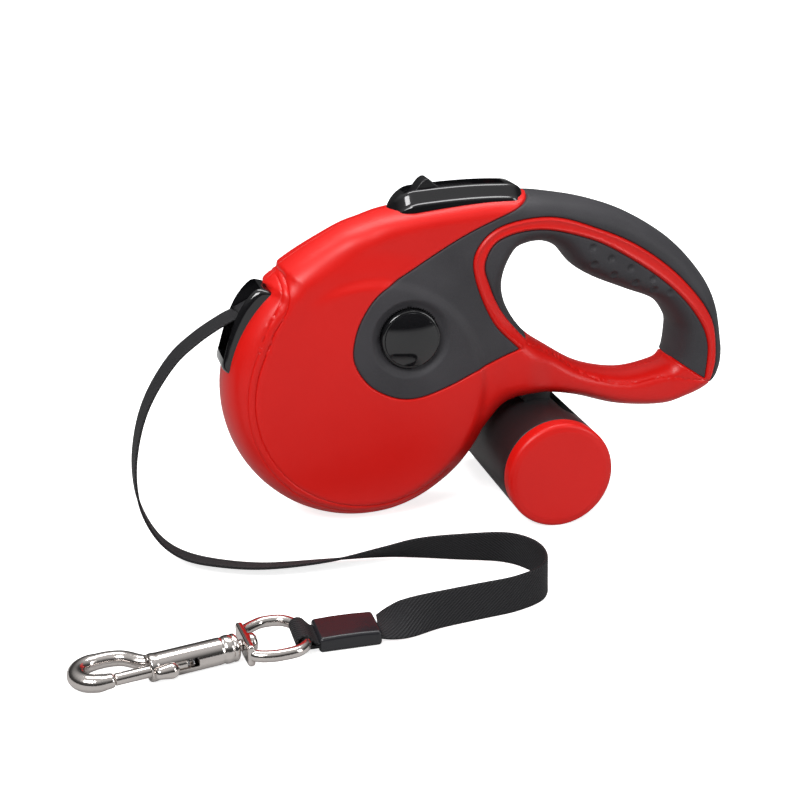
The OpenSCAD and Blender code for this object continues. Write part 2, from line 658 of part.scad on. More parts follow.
// Two layers of tape that run through the sleeve and pass round the bar of the eye
layer_z = floor_gap + sleeve_t / 2;
loop_r = eye_wire / 2 + seam;
module tape_end_loop() color("#18181a") {
    // through the sleeve and up to the bar
    translate([sleeve_end[0] - sleeve_l + seam, sleeve_end[1] - tape_w / 2, layer_z - tape_t])
        cube([sleeve_l - 2 * seam, tape_w, 2 * tape_t]);
    translate([eye_bar[0] + loop_r + tape_t / 2, sleeve_end[1] - tape_w / 2, layer_z - tape_t])
        cube([5 - loop_r, tape_w, 2 * tape_t]);
    // round the bar
    at_snap() translate([0, -tape_w / 2, 0]) rotate([-90, 0, 0]) difference() {
        cylinder(r = loop_r + tape_t, h = tape_w, $fn = 48);
        translate([0, 0, -1]) cylinder(r = loop_r, h = tape_w + 2, $fn = 48);
    }
}

// Round wire along a path of x, y and radius in the XY plane, with ten sides
module wire(path) {
    n = len(path);
    function ring(i) = let (a = path[max(i - 1, 0)], b = path[min(i + 1, n - 1)], d = atan2(b[1] - a[1], b[0] - a[0]))
        [for (j = [0 : 9]) let (c = path[i][2] * cos(36 * j))
            [path[i][0] - c * sin(d), path[i][1] + c * cos(d), path[i][2] * sin(36 * j)]];
    polyhedron([for (i = [0 : n - 1]) each ring(i)],
        concat([[0, 1, 2, 3, 4, 5, 6, 7, 8, 9]],
            [for (i = [0 : n - 2], j = [0 : 9])
                [10 * i + j, 10 * (i + 1) + j, 10 * (i + 1) + (j + 1) % 10, 10 * i + (j + 1) % 10]],
            [[for (j = [9 : -1 : 0]) 10 * (n - 1) + j]]));
}

module swivel_eye() color("#c9cbce") {
    r = eye_wire / 2;
    w = eye_w / 2 + 2.6;
    at_snap() {
        wire([for (p = curve([[eye_base + 0.4, w - 3], [eye_base + 2, w - 1.2], [eye_base + 5, w + 0.6],
            [-9, w + 1.8], [-4, w + 1.2], [-1, w - 1.4], [0, w - 4.5], [0, 4.5 - w], [-1, 1.8 - w],
            [-4, -w - 0.1], [-9, -w - 0.5], [eye_base + 5, -w], [eye_base + 2, 1.2 - w],
            [eye_base + 0.4, 3 - w]], 2)) [p[0], p[1], r]]);
        translate([eye_base - 1, 1.4 - w, -2.6]) cube([2.2, 2 * w - 2.8, 5.2]);
    }
    // swivel post and its riveted heads
    at_hook() {
        bar(eye_base + 0.9, 2.6, 2.1);
        bar(post_in, 1.8, eye_base - post_in);
        bar(post_in, 2.6, 1.6);
    }
}

collar_x = -20;
post_in = collar_x - 3.4;
barrel_x = collar_x - barrel_l;
nose_x = barrel_x - 11;
bolt_r = bolt_d / 2;
bolt_y = -2.2;
arm_y = 10;
bend_r = (arm_y - bolt_y) / 2;
knob_x = barrel_x + 4.5;
knob_up = 6;
bolt_in = 6.2;
boss_r = bolt_r + 0.9;
knob_y = bolt_y - boss_r - 0.3;
bore_end = 5.2;
module snap_body() color("#c9cbce") at_hook() {
    r = hook_wire / 2;
    difference() {
        union() {
            bar(barrel_x, barrel_d / 2 - 0.7, barrel_l, n = 48);
            bar(barrel_x, boss_r, barrel_l - 4, bolt_y, 32);
            bar(collar_x - 4.2, barrel_d / 2 - 0.1, 4.2, n = 48);
        }
        // swivel seat
        bar(post_in - gap, 1.8 + running, 20);
        bar(post_in - gap, 2.6 + gap, 1.6 + 2 * gap);
        // bore of the bolt and slot of its knob
        bar(barrel_x - 1, bolt_r + running, barrel_l - bore_end + 1, bolt_y);
        rotate([-knob_up, 0, 0]) translate([knob_x - 1.5, -barrel_d, -1.4])
            cube([bolt_travel + 3, barrel_d + bolt_y, 2.8]);
    }
    // arm of the hook, its bend and its nose
    wire(concat(curve([[barrel_x + 4, 1.9, r - 0.7], [barrel_x - 1, 3.6, r], [barrel_x - 5, arm_y - 1.8, r],
            [barrel_x - 9, arm_y - 0.2, r], [nose_x - 2, arm_y, r]], 2),
        [for (a = [100 : 20 : 260]) [nose_x - 2.6 + (bend_r + 0.4) * cos(a), bolt_y + bend_r + bend_r * sin(a),
            r + 0.4 * sin(a / 2)]],
        [[nose_x - 2, bolt_y, r], [nose_x, bolt_y, r - 0.2]]));
}

module snap_bolt() color("#c9cbce") at_hook() {
    bar(nose_x + gap / 2, bolt_r, barrel_x - nose_x + bolt_in - gap / 2, bolt_y);
    rotate([-knob_up, 0, 0]) {
        translate([knob_x, bolt_y, 0]) rotate([90, 0, 0]) cylinder(r = 1.1, h = bolt_y - knob_y + 0.3, $fn = 24);
        // thumb knob, flat where it slides along the barrel
        intersection() {
            translate([knob_x - 2.6, knob_y - 0.4, 0]) {
                sphere(r = 1.8, $fn = 32);
                rotate([0, 90, 0]) cylinder(r1 = 1.8, r2 = 2.2, h = 3.4, $fn = 32);
                translate([3.4, 0, 0]) sphere(r = 2.2, $fn = 32);
            }
            translate([knob_x - 10, knob_y - 10, -10]) cube([20, 10, 20]);
        }
    }
}

module bolt_spring() color("#b8babd") at_hook() translate([barrel_x + bolt_in + seam, bolt_y, 0])
    rotate([0, 90, 0]) coil_spring(1.2, 0.5, barrel_l - bore_end - bolt_in - 2 * seam, 7);

shell_left();
shell_right();
grip_panel_left();
grip_panel_right();
finger_pad();
cover_cap_left();
cover_cap_right();
nozzle();
tape_guide_pin();
brake_bezel();
brake_button();
brake_plunger();
brake_pawl();
pawl_pin();
brake_spring();
reel();
spring_cover();
mainspring();
axle();
tape_coil();
tape_lead();
case_screws();
dispenser_tube();
dispenser_cap();
bag_roll();
bag_core();
tape_free();
tape_end_loop();
tape_sleeve();
swivel_eye();
snap_body();
snap_bolt();
bolt_spring();
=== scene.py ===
"""Retractable tape leash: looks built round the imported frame. Millimetres inside, metres on the meshes."""
import math

import bpy
import numpy as np
from mathutils import Matrix, Vector, geometry
from mathutils.kdtree import KDTree


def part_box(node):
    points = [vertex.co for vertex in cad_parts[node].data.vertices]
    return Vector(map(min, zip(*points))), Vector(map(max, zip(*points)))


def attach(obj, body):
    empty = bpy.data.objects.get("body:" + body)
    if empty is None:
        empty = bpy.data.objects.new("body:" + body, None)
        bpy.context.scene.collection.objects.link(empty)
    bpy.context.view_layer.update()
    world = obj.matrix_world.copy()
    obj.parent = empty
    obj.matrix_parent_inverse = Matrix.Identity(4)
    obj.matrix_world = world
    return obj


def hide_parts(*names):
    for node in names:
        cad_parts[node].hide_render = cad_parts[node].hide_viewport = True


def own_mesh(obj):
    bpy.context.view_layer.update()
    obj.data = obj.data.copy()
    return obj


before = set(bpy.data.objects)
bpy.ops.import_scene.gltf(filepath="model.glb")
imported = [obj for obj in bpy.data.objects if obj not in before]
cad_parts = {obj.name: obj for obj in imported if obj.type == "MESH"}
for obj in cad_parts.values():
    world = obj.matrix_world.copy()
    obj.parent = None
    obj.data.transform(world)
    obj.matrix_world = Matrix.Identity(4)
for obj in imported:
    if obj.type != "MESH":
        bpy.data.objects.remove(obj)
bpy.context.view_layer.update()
bpy.ops.object.select_all(action="DESELECT")

MM = 0.001


def shift(x, y, z):
    """A move in millimetres."""
    return Matrix.Translation(Vector((x, y, z)) * MM)


def spun(degrees, axis):
    return Matrix.Rotation(math.radians(degrees), 4, axis)


# The reel's axis in X and Z, millimetres
REEL = np.array([-44.75, 50.0])

# ---------------------------------------------------------------- camera and free tape
CAMERA_AT = (-0.15770, -0.47140, 0.22268)
CAMERA_X = (0.96509762, -0.26189039, 0.0)
CAMERA_Y = (0.0914327, 0.33694051, 0.93707585)
CAMERA_Z = (-0.24541116, -0.90436968, 0.34912583)
LENS = 64.8


def aim_camera():
    data = bpy.data.cameras.new("studio_camera")
    data.lens = LENS
    data.sensor_width = 36.0
    camera = bpy.data.objects.new("studio_camera", data)
    bpy.context.scene.collection.objects.link(camera)
    turn = Matrix((CAMERA_X, CAMERA_Y, CAMERA_Z)).transposed().to_4x4()
    camera.matrix_world = Matrix.Translation(CAMERA_AT) @ turn
    bpy.context.scene.camera = camera


aim_camera()

# x, y, z and the turn of the tape's width, from the nozzle to the sleeve
ROUTE = [
    (-88, 0, 78.3, 0), (-93.5, -1, 76.2, 0), (-102.5, -3, 71.5, 0), (-111, -6, 65.5, 0),
    (-119, -10, 56, 0), (-124, -13, 46, 0), (-127, -17, 34, 2), (-127, -20, 23, 4),
    (-124.5, -23, 14.5, 6), (-120, -25.5, 7.5, 9), (-113.5, -29.5, 3.6, 12), (-104, -36, 2.6, 15),
    (-88.5, -43, 2.7, 18), (-68, -45.5, 3.2, 24), (-50, -47, 4.6, 40), (-38, -48.5, 5.4, 56),
    (-24, -52.5, 6, 70), (-9, -57.5, 6.3, 82), (-2, -66, 6.5, 90), (-1, -76, 6.5, 94),
    (-5.5, -85, 6.5, 97), (-16, -90, 6.5, 98), (-30, -92, 6.5, 100), (-44, -93.5, 6.2, 104),
    (-52.5, -94, 5.2, 124), (-57.5, -93.5, 4, 150), (-62, -92.7, 2.9, 176)]
TAPE_WIDTH = 12.0
TAPE_THICK = 0.9


def smooth_curve(points, steps, closed=False):
    """Catmull-Rom curve through the points."""
    p = np.asarray(points, float)
    n = len(p)
    out = []
    for i in range(n if closed else n - 1):
        ids = [(i + k) % n if closed else min(max(i + k, 0), n - 1) for k in (-1, 0, 1, 2)]
        a, b, c, d = p[ids]
        for t in np.arange(steps) / steps:
            out.append(0.5 * (2 * b + (c - a) * t + (2 * a - 5 * b + 4 * c - d) * t * t
                              + (3 * b - a - 3 * c + d) * t ** 3))
    if not closed:
        out.append(p[-1])
    return np.array(out)


def resample(line, step, closed=False):
    """The same line with points an even step apart."""
    line = np.vstack([line, line[:1]]) if closed else np.asarray(line, float)
    run = np.concatenate([[0], np.cumsum(np.linalg.norm(np.diff(line, axis=0), axis=1))])
    count = max(2, int(round(run[-1] / step)))
    at = np.linspace(0, run[-1], count + 1)
    out = np.stack([np.interp(at, run, line[:, k]) for k in range(line.shape[1])], axis=1)
    return out[:-1] if closed else out


def new_piece(name, verts, faces, smooth=True):
    mesh = bpy.data.meshes.new(name)
    mesh.from_pydata([tuple(v) for v in verts], [], [tuple(f) for f in faces])
    mesh.update()
    piece = bpy.data.objects.new(name, mesh)
    bpy.context.scene.collection.objects.link(piece)
    if smooth:
        for poly in mesh.polygons:
            poly.use_smooth = True
    return piece


def tape_ribbon(name, route, width, thick):
    """Flat tape along the route, with round edges and a UV map in millimetres along and across."""
    line = resample(smooth_curve(route, 12), 0.9)
    spine = line[:, :3]
    turn = np.radians(line[:, 3])
    along = np.gradient(spine, axis=0)
    along /= np.linalg.norm(along, axis=1)[:, None]
    across = np.stack([0 * turn, -np.cos(turn), np.sin(turn)], axis=1)
    across -= (across * along).sum(1)[:, None] * along
    across /= np.linalg.norm(across, axis=1)[:, None]
    up = np.cross(along, across)
    a, b = width / 2, thick / 2
    edge = [(a - b + b * math.cos(t), b * math.sin(t)) for t in np.radians([-90, -45, 0, 45, 90])]
    flat = [(x, b) for x in np.linspace(a - b, b - a, 13)[1:-1]]
    ring = edge + flat + [(-x, -y) for x, y in edge] + [(-x, -y) for x, y in flat]
    n, m = len(spine), len(ring)
    verts = [(spine[i] + x * across[i] + y * up[i]) * MM for i in range(n) for x, y in ring]
    faces = [(m * i + j, m * i + (j + 1) % m, m * (i + 1) + (j + 1) % m, m * (i + 1) + j)
             for i in range(n - 1) for j in range(m)]
    faces += [tuple(reversed(range(m))), tuple(range(m * (n - 1), m * n))]
    piece = new_piece(name, verts, faces)
    run = np.concatenate([[0], np.cumsum(np.linalg.norm(np.diff(spine, axis=0), axis=1))])
    uv = piece.data.uv_layers.new(name="tape")
    for poly in piece.data.polygons:
        for k in poly.loop_indices:
            v = piece.data.loops[k].vertex_index
            x, y = ring[v % m]
            uv.data[k].uv = (run[v // m], x + (20 if y < 0 else 0))
    return piece, spine


tape, tape_line = tape_ribbon("tape_run", ROUTE, TAPE_WIDTH, TAPE_THICK)
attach(tape, "housing")
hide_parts("tape_free")
tape_length = float(np.linalg.norm(np.diff(tape_line, axis=0), axis=1).sum()) * MM


# ---------------------------------------------------------------- hand modelling
def edit(piece):
    """Opens the piece in edit mode with everything selected."""
    bpy.ops.object.select_all(action="DESELECT")
    piece.select_set(True)
    bpy.context.view_layer.objects.active = piece
    bpy.ops.object.mode_set(mode="EDIT")
    bpy.ops.mesh.select_all(action="SELECT")


def close_edit():
    bpy.ops.object.mode_set(mode="OBJECT")
    bpy.ops.object.select_all(action="DESELECT")


def finish_mesh(piece, angle=35.0):
    """Merges doubles, turns the faces outwards and smooths all but sharp edges."""
    edit(piece)
    bpy.ops.mesh.remove_doubles(threshold=0.00001)
    bpy.ops.mesh.normals_make_consistent(inside=False)
    close_edit()
    smooth_by_angle(piece, angle)
    return piece


def smooth_by_angle(piece, angle=35.0):
    piece.select_set(True)
    bpy.context.view_layer.objects.active = piece
    bpy.ops.object.shade_smooth_by_angle(angle=math.radians(angle))
    bpy.ops.object.select_all(action="DESELECT")


def modify(piece, kind, **settings):
    """Adds one modifier and applies it."""
    bpy.ops.object.select_all(action="DESELECT")
    piece.select_set(True)
    bpy.context.view_layer.objects.active = piece
    modifier = piece.modifiers.new(kind.lower(), kind)
    for key, value in settings.items():
        setattr(modifier, key, value)
    bpy.ops.object.modifier_apply(modifier=modifier.name)
    bpy.ops.object.select_all(action="DESELECT")


def bevel(piece, width, segments=3, angle=30.0):
    modify(piece, "BEVEL", width=width * MM, segments=segments, limit_method="ANGLE",
           angle_limit=math.radians(angle), use_clamp_overlap=True)


def cut(piece, cutter, operation="DIFFERENCE"):
    """Cuts the piece with the cutter, which is then removed."""
    modify(piece, "BOOLEAN", operation=operation, object=cutter, solver="EXACT")
    bpy.data.objects.remove(cutter, do_unlink=True)


def plate(name, outline, y0, y1, place=None):
    """A plate sawn to an outline in X and Z, from y0 to y1."""
    bpy.ops.mesh.primitive_circle_add(vertices=len(outline), radius=1.0, fill_type="NOTHING")
    piece = bpy.context.active_object
    piece.name = piece.data.name = name
    for vertex, (x, z) in zip(piece.data.vertices, outline):
        vertex.co = (x * MM, y0 * MM, z * MM)
    edit(piece)
    bpy.ops.mesh.edge_face_add()
    bpy.ops.mesh.extrude_region_move(TRANSFORM_OT_translate={"value": (0, (y1 - y0) * MM, 0)})
    bpy.ops.mesh.select_all(action="SELECT")
    bpy.ops.mesh.normals_make_consistent(inside=False)
    close_edit()
    if place:
        piece.data.transform(place)
    return piece


def loft(name, sections):
    """A body drawn through rings of points, all with the same count, and closed at both ends."""
    count = len(sections[0])
    verts = [(x * MM, y * MM, z * MM) for ring in sections for x, y, z in ring]
    faces = [tuple(range(count)), tuple(reversed(range(len(verts) - count, len(verts))))]
    for k in range(len(sections) - 1):
        for i in range(count):
            a, b = k * count + i, k * count + (i + 1) % count
            faces.append((b, a, a + count, b + count))
    piece = new_piece(name, verts, faces)
    edit(piece)
    bpy.ops.mesh.select_all(action="SELECT")
    bpy.ops.mesh.normals_make_consistent(inside=False)
    close_edit()
    return piece


def block(name, low, high, place=None):
    """A cube set out between two corners."""
    bpy.ops.mesh.primitive_cube_add(size=1.0)
    piece = bpy.context.active_object
    piece.name = piece.data.name = name
    low, high = Vector(low) * MM, Vector(high) * MM
    size = high - low
    piece.data.transform(Matrix.Translation((low + high) / 2) @ Matrix.Diagonal((*size, 1)))
    bpy.ops.object.select_all(action="DESELECT")
    if place:
        piece.data.transform(place)
    return piece


def turned(name, profile, place, steps=96):
    """A piece turned on a lathe: the profile is height along the axis and radius."""
    mesh = bpy.data.meshes.new(name)
    mesh.from_pydata([(r * MM, 0, h * MM) for h, r in profile],
                     [(i, i + 1) for i in range(len(profile) - 1)], [])
    piece = bpy.data.objects.new(name, mesh)
    bpy.context.scene.collection.objects.link(piece)
    edit(piece)
    bpy.ops.mesh.spin(steps=steps, angle=2 * math.pi, center=(0, 0, 0), axis=(0, 0, 1))
    bpy.ops.mesh.select_all(action="SELECT")
    bpy.ops.mesh.remove_doubles(threshold=0.000004)
    bpy.ops.mesh.normals_make_consistent(inside=False)
    close_edit()
    piece.data.transform(place)
    if place.determinant() < 0:
        piece.data.flip_normals()
    smooth_by_angle(piece)
    return piece


def round_corner(h0, r0, h1, r1, bulge_h, steps=6):
    """Quarter round between two points of a profile; bulge_h starts along the height."""
    out = []
    for t in np.radians(np.linspace(0, 90, steps + 1)):
        s, c = math.sin(t), 1 - math.cos(t)
        out.append((h0 + (h1 - h0) * (s if bulge_h else c), r0 + (r1 - r0) * (c if bulge_h else s)))
    return out


def wire(name, path, place, sides=24):
    """Round bar along x, y and radius in the local XY plane, with closed ends."""
    path = np.asarray(path, float)
    along = np.gradient(path[:, :2], axis=0)
    along /= np.linalg.norm(along, axis=1)[:, None]
    turn = np.linspace(0, 2 * math.pi, sides, endpoint=False)
    verts = [((x - r * math.cos(a) * t[1]) * MM, (y + r * math.cos(a) * t[0]) * MM, r * math.sin(a) * MM)
             for (x, y, r), t in zip(path, along) for a in turn]
    faces = [(i + j, i + sides + j, i + sides + (j + 1) % sides, i + (j + 1) % sides)
             for i in range(0, sides * (len(path) - 1), sides) for j in range(sides)]
    faces += [tuple(range(sides)), tuple(reversed(range(sides * (len(path) - 1), sides * len(path))))]
    piece = new_piece(name, verts, faces)
    piece.data.transform(place)
    return finish_mesh(piece, 40)


def join(name, *parts):
    bpy.ops.object.select_all(action="DESELECT")
    for part in parts:
        part.select_set(True)
    bpy.context.view_layer.objects.active = parts[0]
    bpy.ops.object.join()
    bpy.ops.object.select_all(action="DESELECT")
    parts[0].name = parts[0].data.name = name
    return parts[0]


def along_axis(x, y, z, direction):
    """Places a turned piece: its axis starts at the point and runs along the direction."""
    return shift(x, y, z) @ Vector(direction).to_track_quat("Z", "Y").to_matrix().to_4x4()


# ---------------------------------------------------------------- housing outlines, from the reel's axis
BODY_R = 50.0
TOP_EDGE = [
    (-32.8, 37.7), (-33.6, 38.8), (-28.8, 42.7), (-27.8, 44.8), (-19.3, 50.3), (-7.1, 56.7), (1, 59.4),
    (9.1, 61.7), (24, 63.8), (43, 65.5), (58.7, 65.3), (68.5, 64.2), (83.8, 61), (99.7, 55), (116.2, 44.6),
    (129, 31.2), (135.3, 19.5), (138.3, 6.3), (139, 0.7), (138.6, -4.5), (136.6, -9.6), (132.4, -13.4),
    (125, -16.6), (115.3, -19.1), (97.4, -17.3), (81.2, -12.4), (68.6, -10.1), (57.8, -10.6), (52.5, -12.8),
    (49.1, -16.4), (45.32, -21.13)]
FINGER_HOLE = [
    (51.3, 35.2), (54.8, 44.2), (59.2, 46.8), (66, 47.1), (72.6, 44.1), (78.7, 37.3), (86.7, 32.3),
    (98.7, 27.2), (111.8, 21.6), (118.5, 13.3), (119.3, 7), (118.2, 0), (114.3, -2.9), (100.6, -4.7),
    (84.3, -1), (70.6, 6.9), (60.2, 14.6), (53, 25.4)]
PANEL_LOW = [
    (56, 10.6), (40.2, 4.9), (29.2, 0), (18, -3.4), (9.1, -2.6), (0.1, 2.7), (-5.2, 11.5), (-4.9, 20),
    (-1.5, 28.5), (5, 36.2), (19.7, 44.8), (35.6, 53.7), (53.4, 61.3), (61, 66)]
RING_OUT = [
    (132.2, -9.2), (133.6, 1), (130.6, 16), (117.5, 32), (101, 44.5), (84.5, 52.3), (66, 57.8), (47.4, 55.4),
    (38.7, 47), (39.1, 36.4), (46, 21), (56, 10.6)]
RING_IN = [
    (129.6, -7.5), (129.8, 6), (124.5, 17.2), (112.9, 29.5), (96.6, 41), (80.9, 49), (62, 53.4),
    (47.5, 50.8), (42.3, 43), (44.2, 34.6), (50, 24), (59.8, 12.8)]
HUB = np.array([14.9, 18.5])
CAP_R = 10.5
DISH_R = 14.3
GROOVE_AT = (1.5, -1.5)
DIMPLES = [(82.1, 45.9), (89.3, 41.4), (97.1, 37.4), (105.9, 32.7), (113.4, 27),
           (83.2, 39.6), (90.9, 35.2), (99.6, 31.6), (107, 28.4)]
SCREWS = [(4, 51), (51, 0), (88, 48), (126.5, 2), (89, -8.6)]
SCREW_HOLE_R = 2.8


def arc(centre, radius, start, stop, step=1.0):
    """Points on an arc, a step apart in millimetres."""
    count = max(2, int(abs(math.radians(stop - start)) * radius / step))
    turn = np.radians(np.linspace(start, stop, count + 1))
    return np.stack([centre[0] + radius * np.cos(turn), centre[1] + radius * np.sin(turn)], axis=1)


# Points measured at a time, to spare memory
BATCH = 4000


def seg_distance(points, line, closed):
    """Distance from each point to a line."""
    a = line if closed else line[:-1]
    b = np.roll(line, -1, axis=0) if closed else line[1:]
    ab = b - a
    length = (ab * ab).sum(1)
    out = np.full(len(points), 1e9)
    for i in range(0, len(points), BATCH):
        ap = points[i:i + BATCH, None, :] - a[None]
        t = np.clip((ap * ab).sum(2) / length, 0, 1)
        out[i:i + BATCH] = np.sqrt(((ap - t[..., None] * ab) ** 2).sum(2).min(1))
    return out


def inside(points, line):
    """True for each point inside a closed line."""
    a, b = line, np.roll(line, -1, axis=0)
    out = np.zeros(len(points), bool)
    for i in range(0, len(points), BATCH):
        p = points[i:i + BATCH, None, :]
        over = (a[:, 1] > p[..., 1]) != (b[:, 1] > p[..., 1])
        climb = np.where(b[:, 1] == a[:, 1], 1e-9, b[:, 1] - a[:, 1])
        x = a[:, 0] + (p[..., 1] - a[:, 1]) * (b[:, 0] - a[:, 0]) / climb
        out[i:i + BATCH] = (over & (p[..., 0] < x)).sum(1) % 2 == 1
    return out


def ease(x, low, high):
    t = np.clip((x - low) / (high - low), 0, 1)
    return t * t * (3 - 2 * t)


outer = resample(np.vstack([arc((0, 0), BODY_R, -25, -229), smooth_curve(TOP_EDGE, 6)[1:-1]]), 0.9, True)
hole = resample(smooth_curve(FINGER_HOLE, 6, True), 0.8, True)
panel_line = np.vstack([smooth_curve(PANEL_LOW, 6), [(61, 80), (155, 80), (155, -13.5), (136, -13.5)],
                        smooth_curve(RING_OUT, 6)[:-1]])
pad_line = np.vstack([smooth_curve(RING_IN, 6), [(112, 4), (64, 16)][::-1]])
BORDERS = [(resample(smooth_curve(PANEL_LOW, 6), 0.7), False),
           (resample(np.vstack([[(136, -13.5), (133.6, -11)], smooth_curve(RING_OUT, 6)]), 0.7), False),
           (resample(np.vstack([[(112, 4), (126, -5.5)], smooth_curve(RING_IN, 6), [(64, 16)]]), 0.7),
            False)]
GROOVES = [(np.vstack([smooth_curve([(-29.6, 47.2), (-27.5, 40.1), (-28, 32.6), (-32.9, 23.9),
                                     tuple(arc(GROOVE_AT, 41.6, 157, 158)[0])], 6)[:-1],
                       arc(GROOVE_AT, 41.6, 157, 312)]), 0.42),
           (np.vstack([smooth_curve([(-31, 45.5), (-29.4, 40.4), (-30, 35), (-35.2, 25.6),
                                     tuple(arc(GROOVE_AT, 44.2, 158, 159)[0])], 6)[:-1],
                       arc(GROOVE_AT, 44.2, 158, 305)]), 0.3),
           (smooth_curve([(60.2, 11.2), (72, 4.6), (84.5, -3.6), (100, -7.6), (114, -6.4), (130.7, -8.4)],
                         8), 0.3)]


def edge_distance(p):
    return np.minimum(seg_distance(p, outer, True), seg_distance(p, hole, True))


def low_bar(p):
    below = 1 - ease(p[:, 1] + 0.12 * (p[:, 0] - 60), 2, 14)
    return ease(p[:, 0], 58, 70) * below * (1 - ease(p[:, 0], 116, 128))


def roll(p):
    """How wide the edge rolls over at a place."""
    reach = np.linalg.norm(p, axis=1)
    return 9.5 - 2.5 * ease(reach, 46, 64) - 1.6 * low_bar(p)


def thickness(p):
    """Half thickness away from the edges."""
    reach = np.linalg.norm(p - np.array([1.5, -1.5]), axis=1)
    dome = 15.5 - 0.3 * (np.minimum(reach, 38) / 38) ** 2
    return dome - (dome - 12.8) * (0.6 * ease(reach, 38.5, 42.5) + 0.4 * ease(reach, 42, 52)) \
        * ease(p[:, 0] + 0.4 * p[:, 1], -12, 14) \
        - 0.3 * ease(reach, 60, 80) - 2.2 * low_bar(p)


def lift(p):
    """Half thickness at each place, from the rolled edge to the flat of the side."""
    share = np.clip(edge_distance(p) / roll(p), 0, 1)
    return thickness(p) * np.sqrt(np.clip(1 - (1 - share) ** 2.2, 0, 1))


def relief(p):
    """What stands out of the side, or is sunk in it, in millimetres."""
    h = np.zeros(len(p))
    for line, closed in BORDERS:
        d = seg_distance(p, line, closed)
        h -= 0.75 * np.clip(1 - d / 0.55, 0, 1) ** 1.8
    ring = inside(p, np.vstack([smooth_curve(RING_OUT, 6), smooth_curve(RING_IN, 6)[::-1]]))
    for line, closed in BORDERS[1:]:
        d = seg_distance(p, line, closed)
        h += np.where(ring, 0.38 * np.exp(-((d - 1.0) / 0.45) ** 2), 0)
    for line, depth in GROOVES:
        d = seg_distance(p, line, False)
        h -= depth * np.clip(1 - d / 0.5, 0, 1) ** 1.5
    r = np.linalg.norm(p - HUB, axis=1)
    t = np.clip((DISH_R - r) / (DISH_R - CAP_R - 0.3), 0, 1)
    h -= 1.9 * np.sin(t * math.pi / 2) ** 1.3 + np.where(r < CAP_R + 0.25, 1.2, 0)
    for x, z in DIMPLES:
        d = np.hypot(p[:, 0] - x, p[:, 1] - z)
        h -= 0.85 * np.clip(1 - (d / 1.5) ** 2, 0, 1)
    return h


def beside(line, closed, gaps):
    """Points on both sides of a line, the given gaps away."""
    if closed:
        along = np.roll(line, -1, axis=0) - np.roll(line, 1, axis=0)
    else:
        along = np.gradient(line, axis=0)
    along /= np.linalg.norm(along, axis=1)[:, None]
    across = np.stack([-along[:, 1], along[:, 0]], axis=1)
    out = []
    for gap in gaps:
        for side in (-1, 1):
            q = line + side * gap * across
            out.append(q[seg_distance(q, line, closed) > gap - 0.04])
    return np.vstack(out)


def flat_net():
    """Triangles of the side's flat outline, fine along its edges, seams and grooves."""
    points, edges = [], []

    def chain(line, closed):
        first = sum(len(p) for p in points)
        points.append(line)
        n = len(line)
        edges.extend((first + i, first + (i + 1) % n) for i in range(n if closed else n - 1))

    chain(outer, True)
    chain(hole, True)
    for line, closed in BORDERS:
        chain(line, closed)
    free = []
    for line in (outer, hole):
        width = roll(line)
        along = np.roll(line, -1, axis=0) - np.roll(line, 1, axis=0)
        along /= np.linalg.norm(along, axis=1)[:, None]
        across = np.stack([-along[:, 1], along[:, 0]], axis=1)
        for angle in (8, 16, 25, 34, 43, 52, 62, 73, 85):
            gap = width * (1 - math.cos(math.radians(angle)))
            for side in (-1, 1):
                q = line + side * gap[:, None] * across
                free.append(q[edge_distance(q) > gap - 0.02])
    for line, closed in BORDERS:
        free.append(beside(line, closed, (0.16, 0.34, 0.56, 1.0, 1.5)))
    for line, _ in GROOVES:
        free = [q[seg_distance(q, line, False) > 0.7] for q in free]
    for line, _ in GROOVES:
        free.append(line)
        free.append(beside(line, False, (0.16, 0.34, 0.52)))
    for r in (DISH_R + 0.4, DISH_R, DISH_R - 0.4, 13, 12.2, 11.4, CAP_R + 0.3, CAP_R + 0.15):
        free.append(arc(HUB, r, 0, 359, 0.9))
    for at in DIMPLES:
        for r in (0.5, 0.95, 1.35, 1.6):
            free.append(arc(at, r, 0, 330, 0.5))
    for at in SCREWS:
        for r in (SCREW_HOLE_R - 0.1, SCREW_HOLE_R, SCREW_HOLE_R + 0.15, SCREW_HOLE_R + 0.4):
            free.append(arc(at, r, 0, 350, 0.6))
    close = np.vstack([*points, *free])
    x, z = np.meshgrid(np.arange(-50, 140, 1.25), np.arange(-50, 67, 1.08))
    x = x + 0.625 * (np.arange(x.shape[0]) % 2)[:, None]
    grid = np.stack([x.ravel(), z.ravel()], axis=1)
    grid = grid[inside(grid, outer) & ~inside(grid, hole)]
    tree = KDTree(len(close))
    for i, p in enumerate(close):
        tree.insert((p[0], p[1], 0), i)
    tree.balance()
    grid = grid[[tree.find((p[0], p[1], 0))[2] > 0.8 for p in grid]]
    every = np.vstack([close, grid])
    found = geometry.delaunay_2d_cdt([Vector(p) for p in every.tolist()], edges, [], 0, 1e-4)
    flat = np.array([tuple(v) for v in found[0]])
    faces = np.array([f for f in found[2] if len(f) == 3])
    middle = flat[faces].mean(1)
    a, b, c = flat[faces[:, 0]], flat[faces[:, 1]], flat[faces[:, 2]]
    area = (b[:, 0] - a[:, 0]) * (c[:, 1] - a[:, 1]) - (b[:, 1] - a[:, 1]) * (c[:, 0] - a[:, 0])
    faces[area < 0] = faces[area < 0][:, ::-1]
    keep = inside(middle, outer) & ~inside(middle, hole) & (abs(area) > 1e-7)
    return flat, faces[keep], middle[keep]


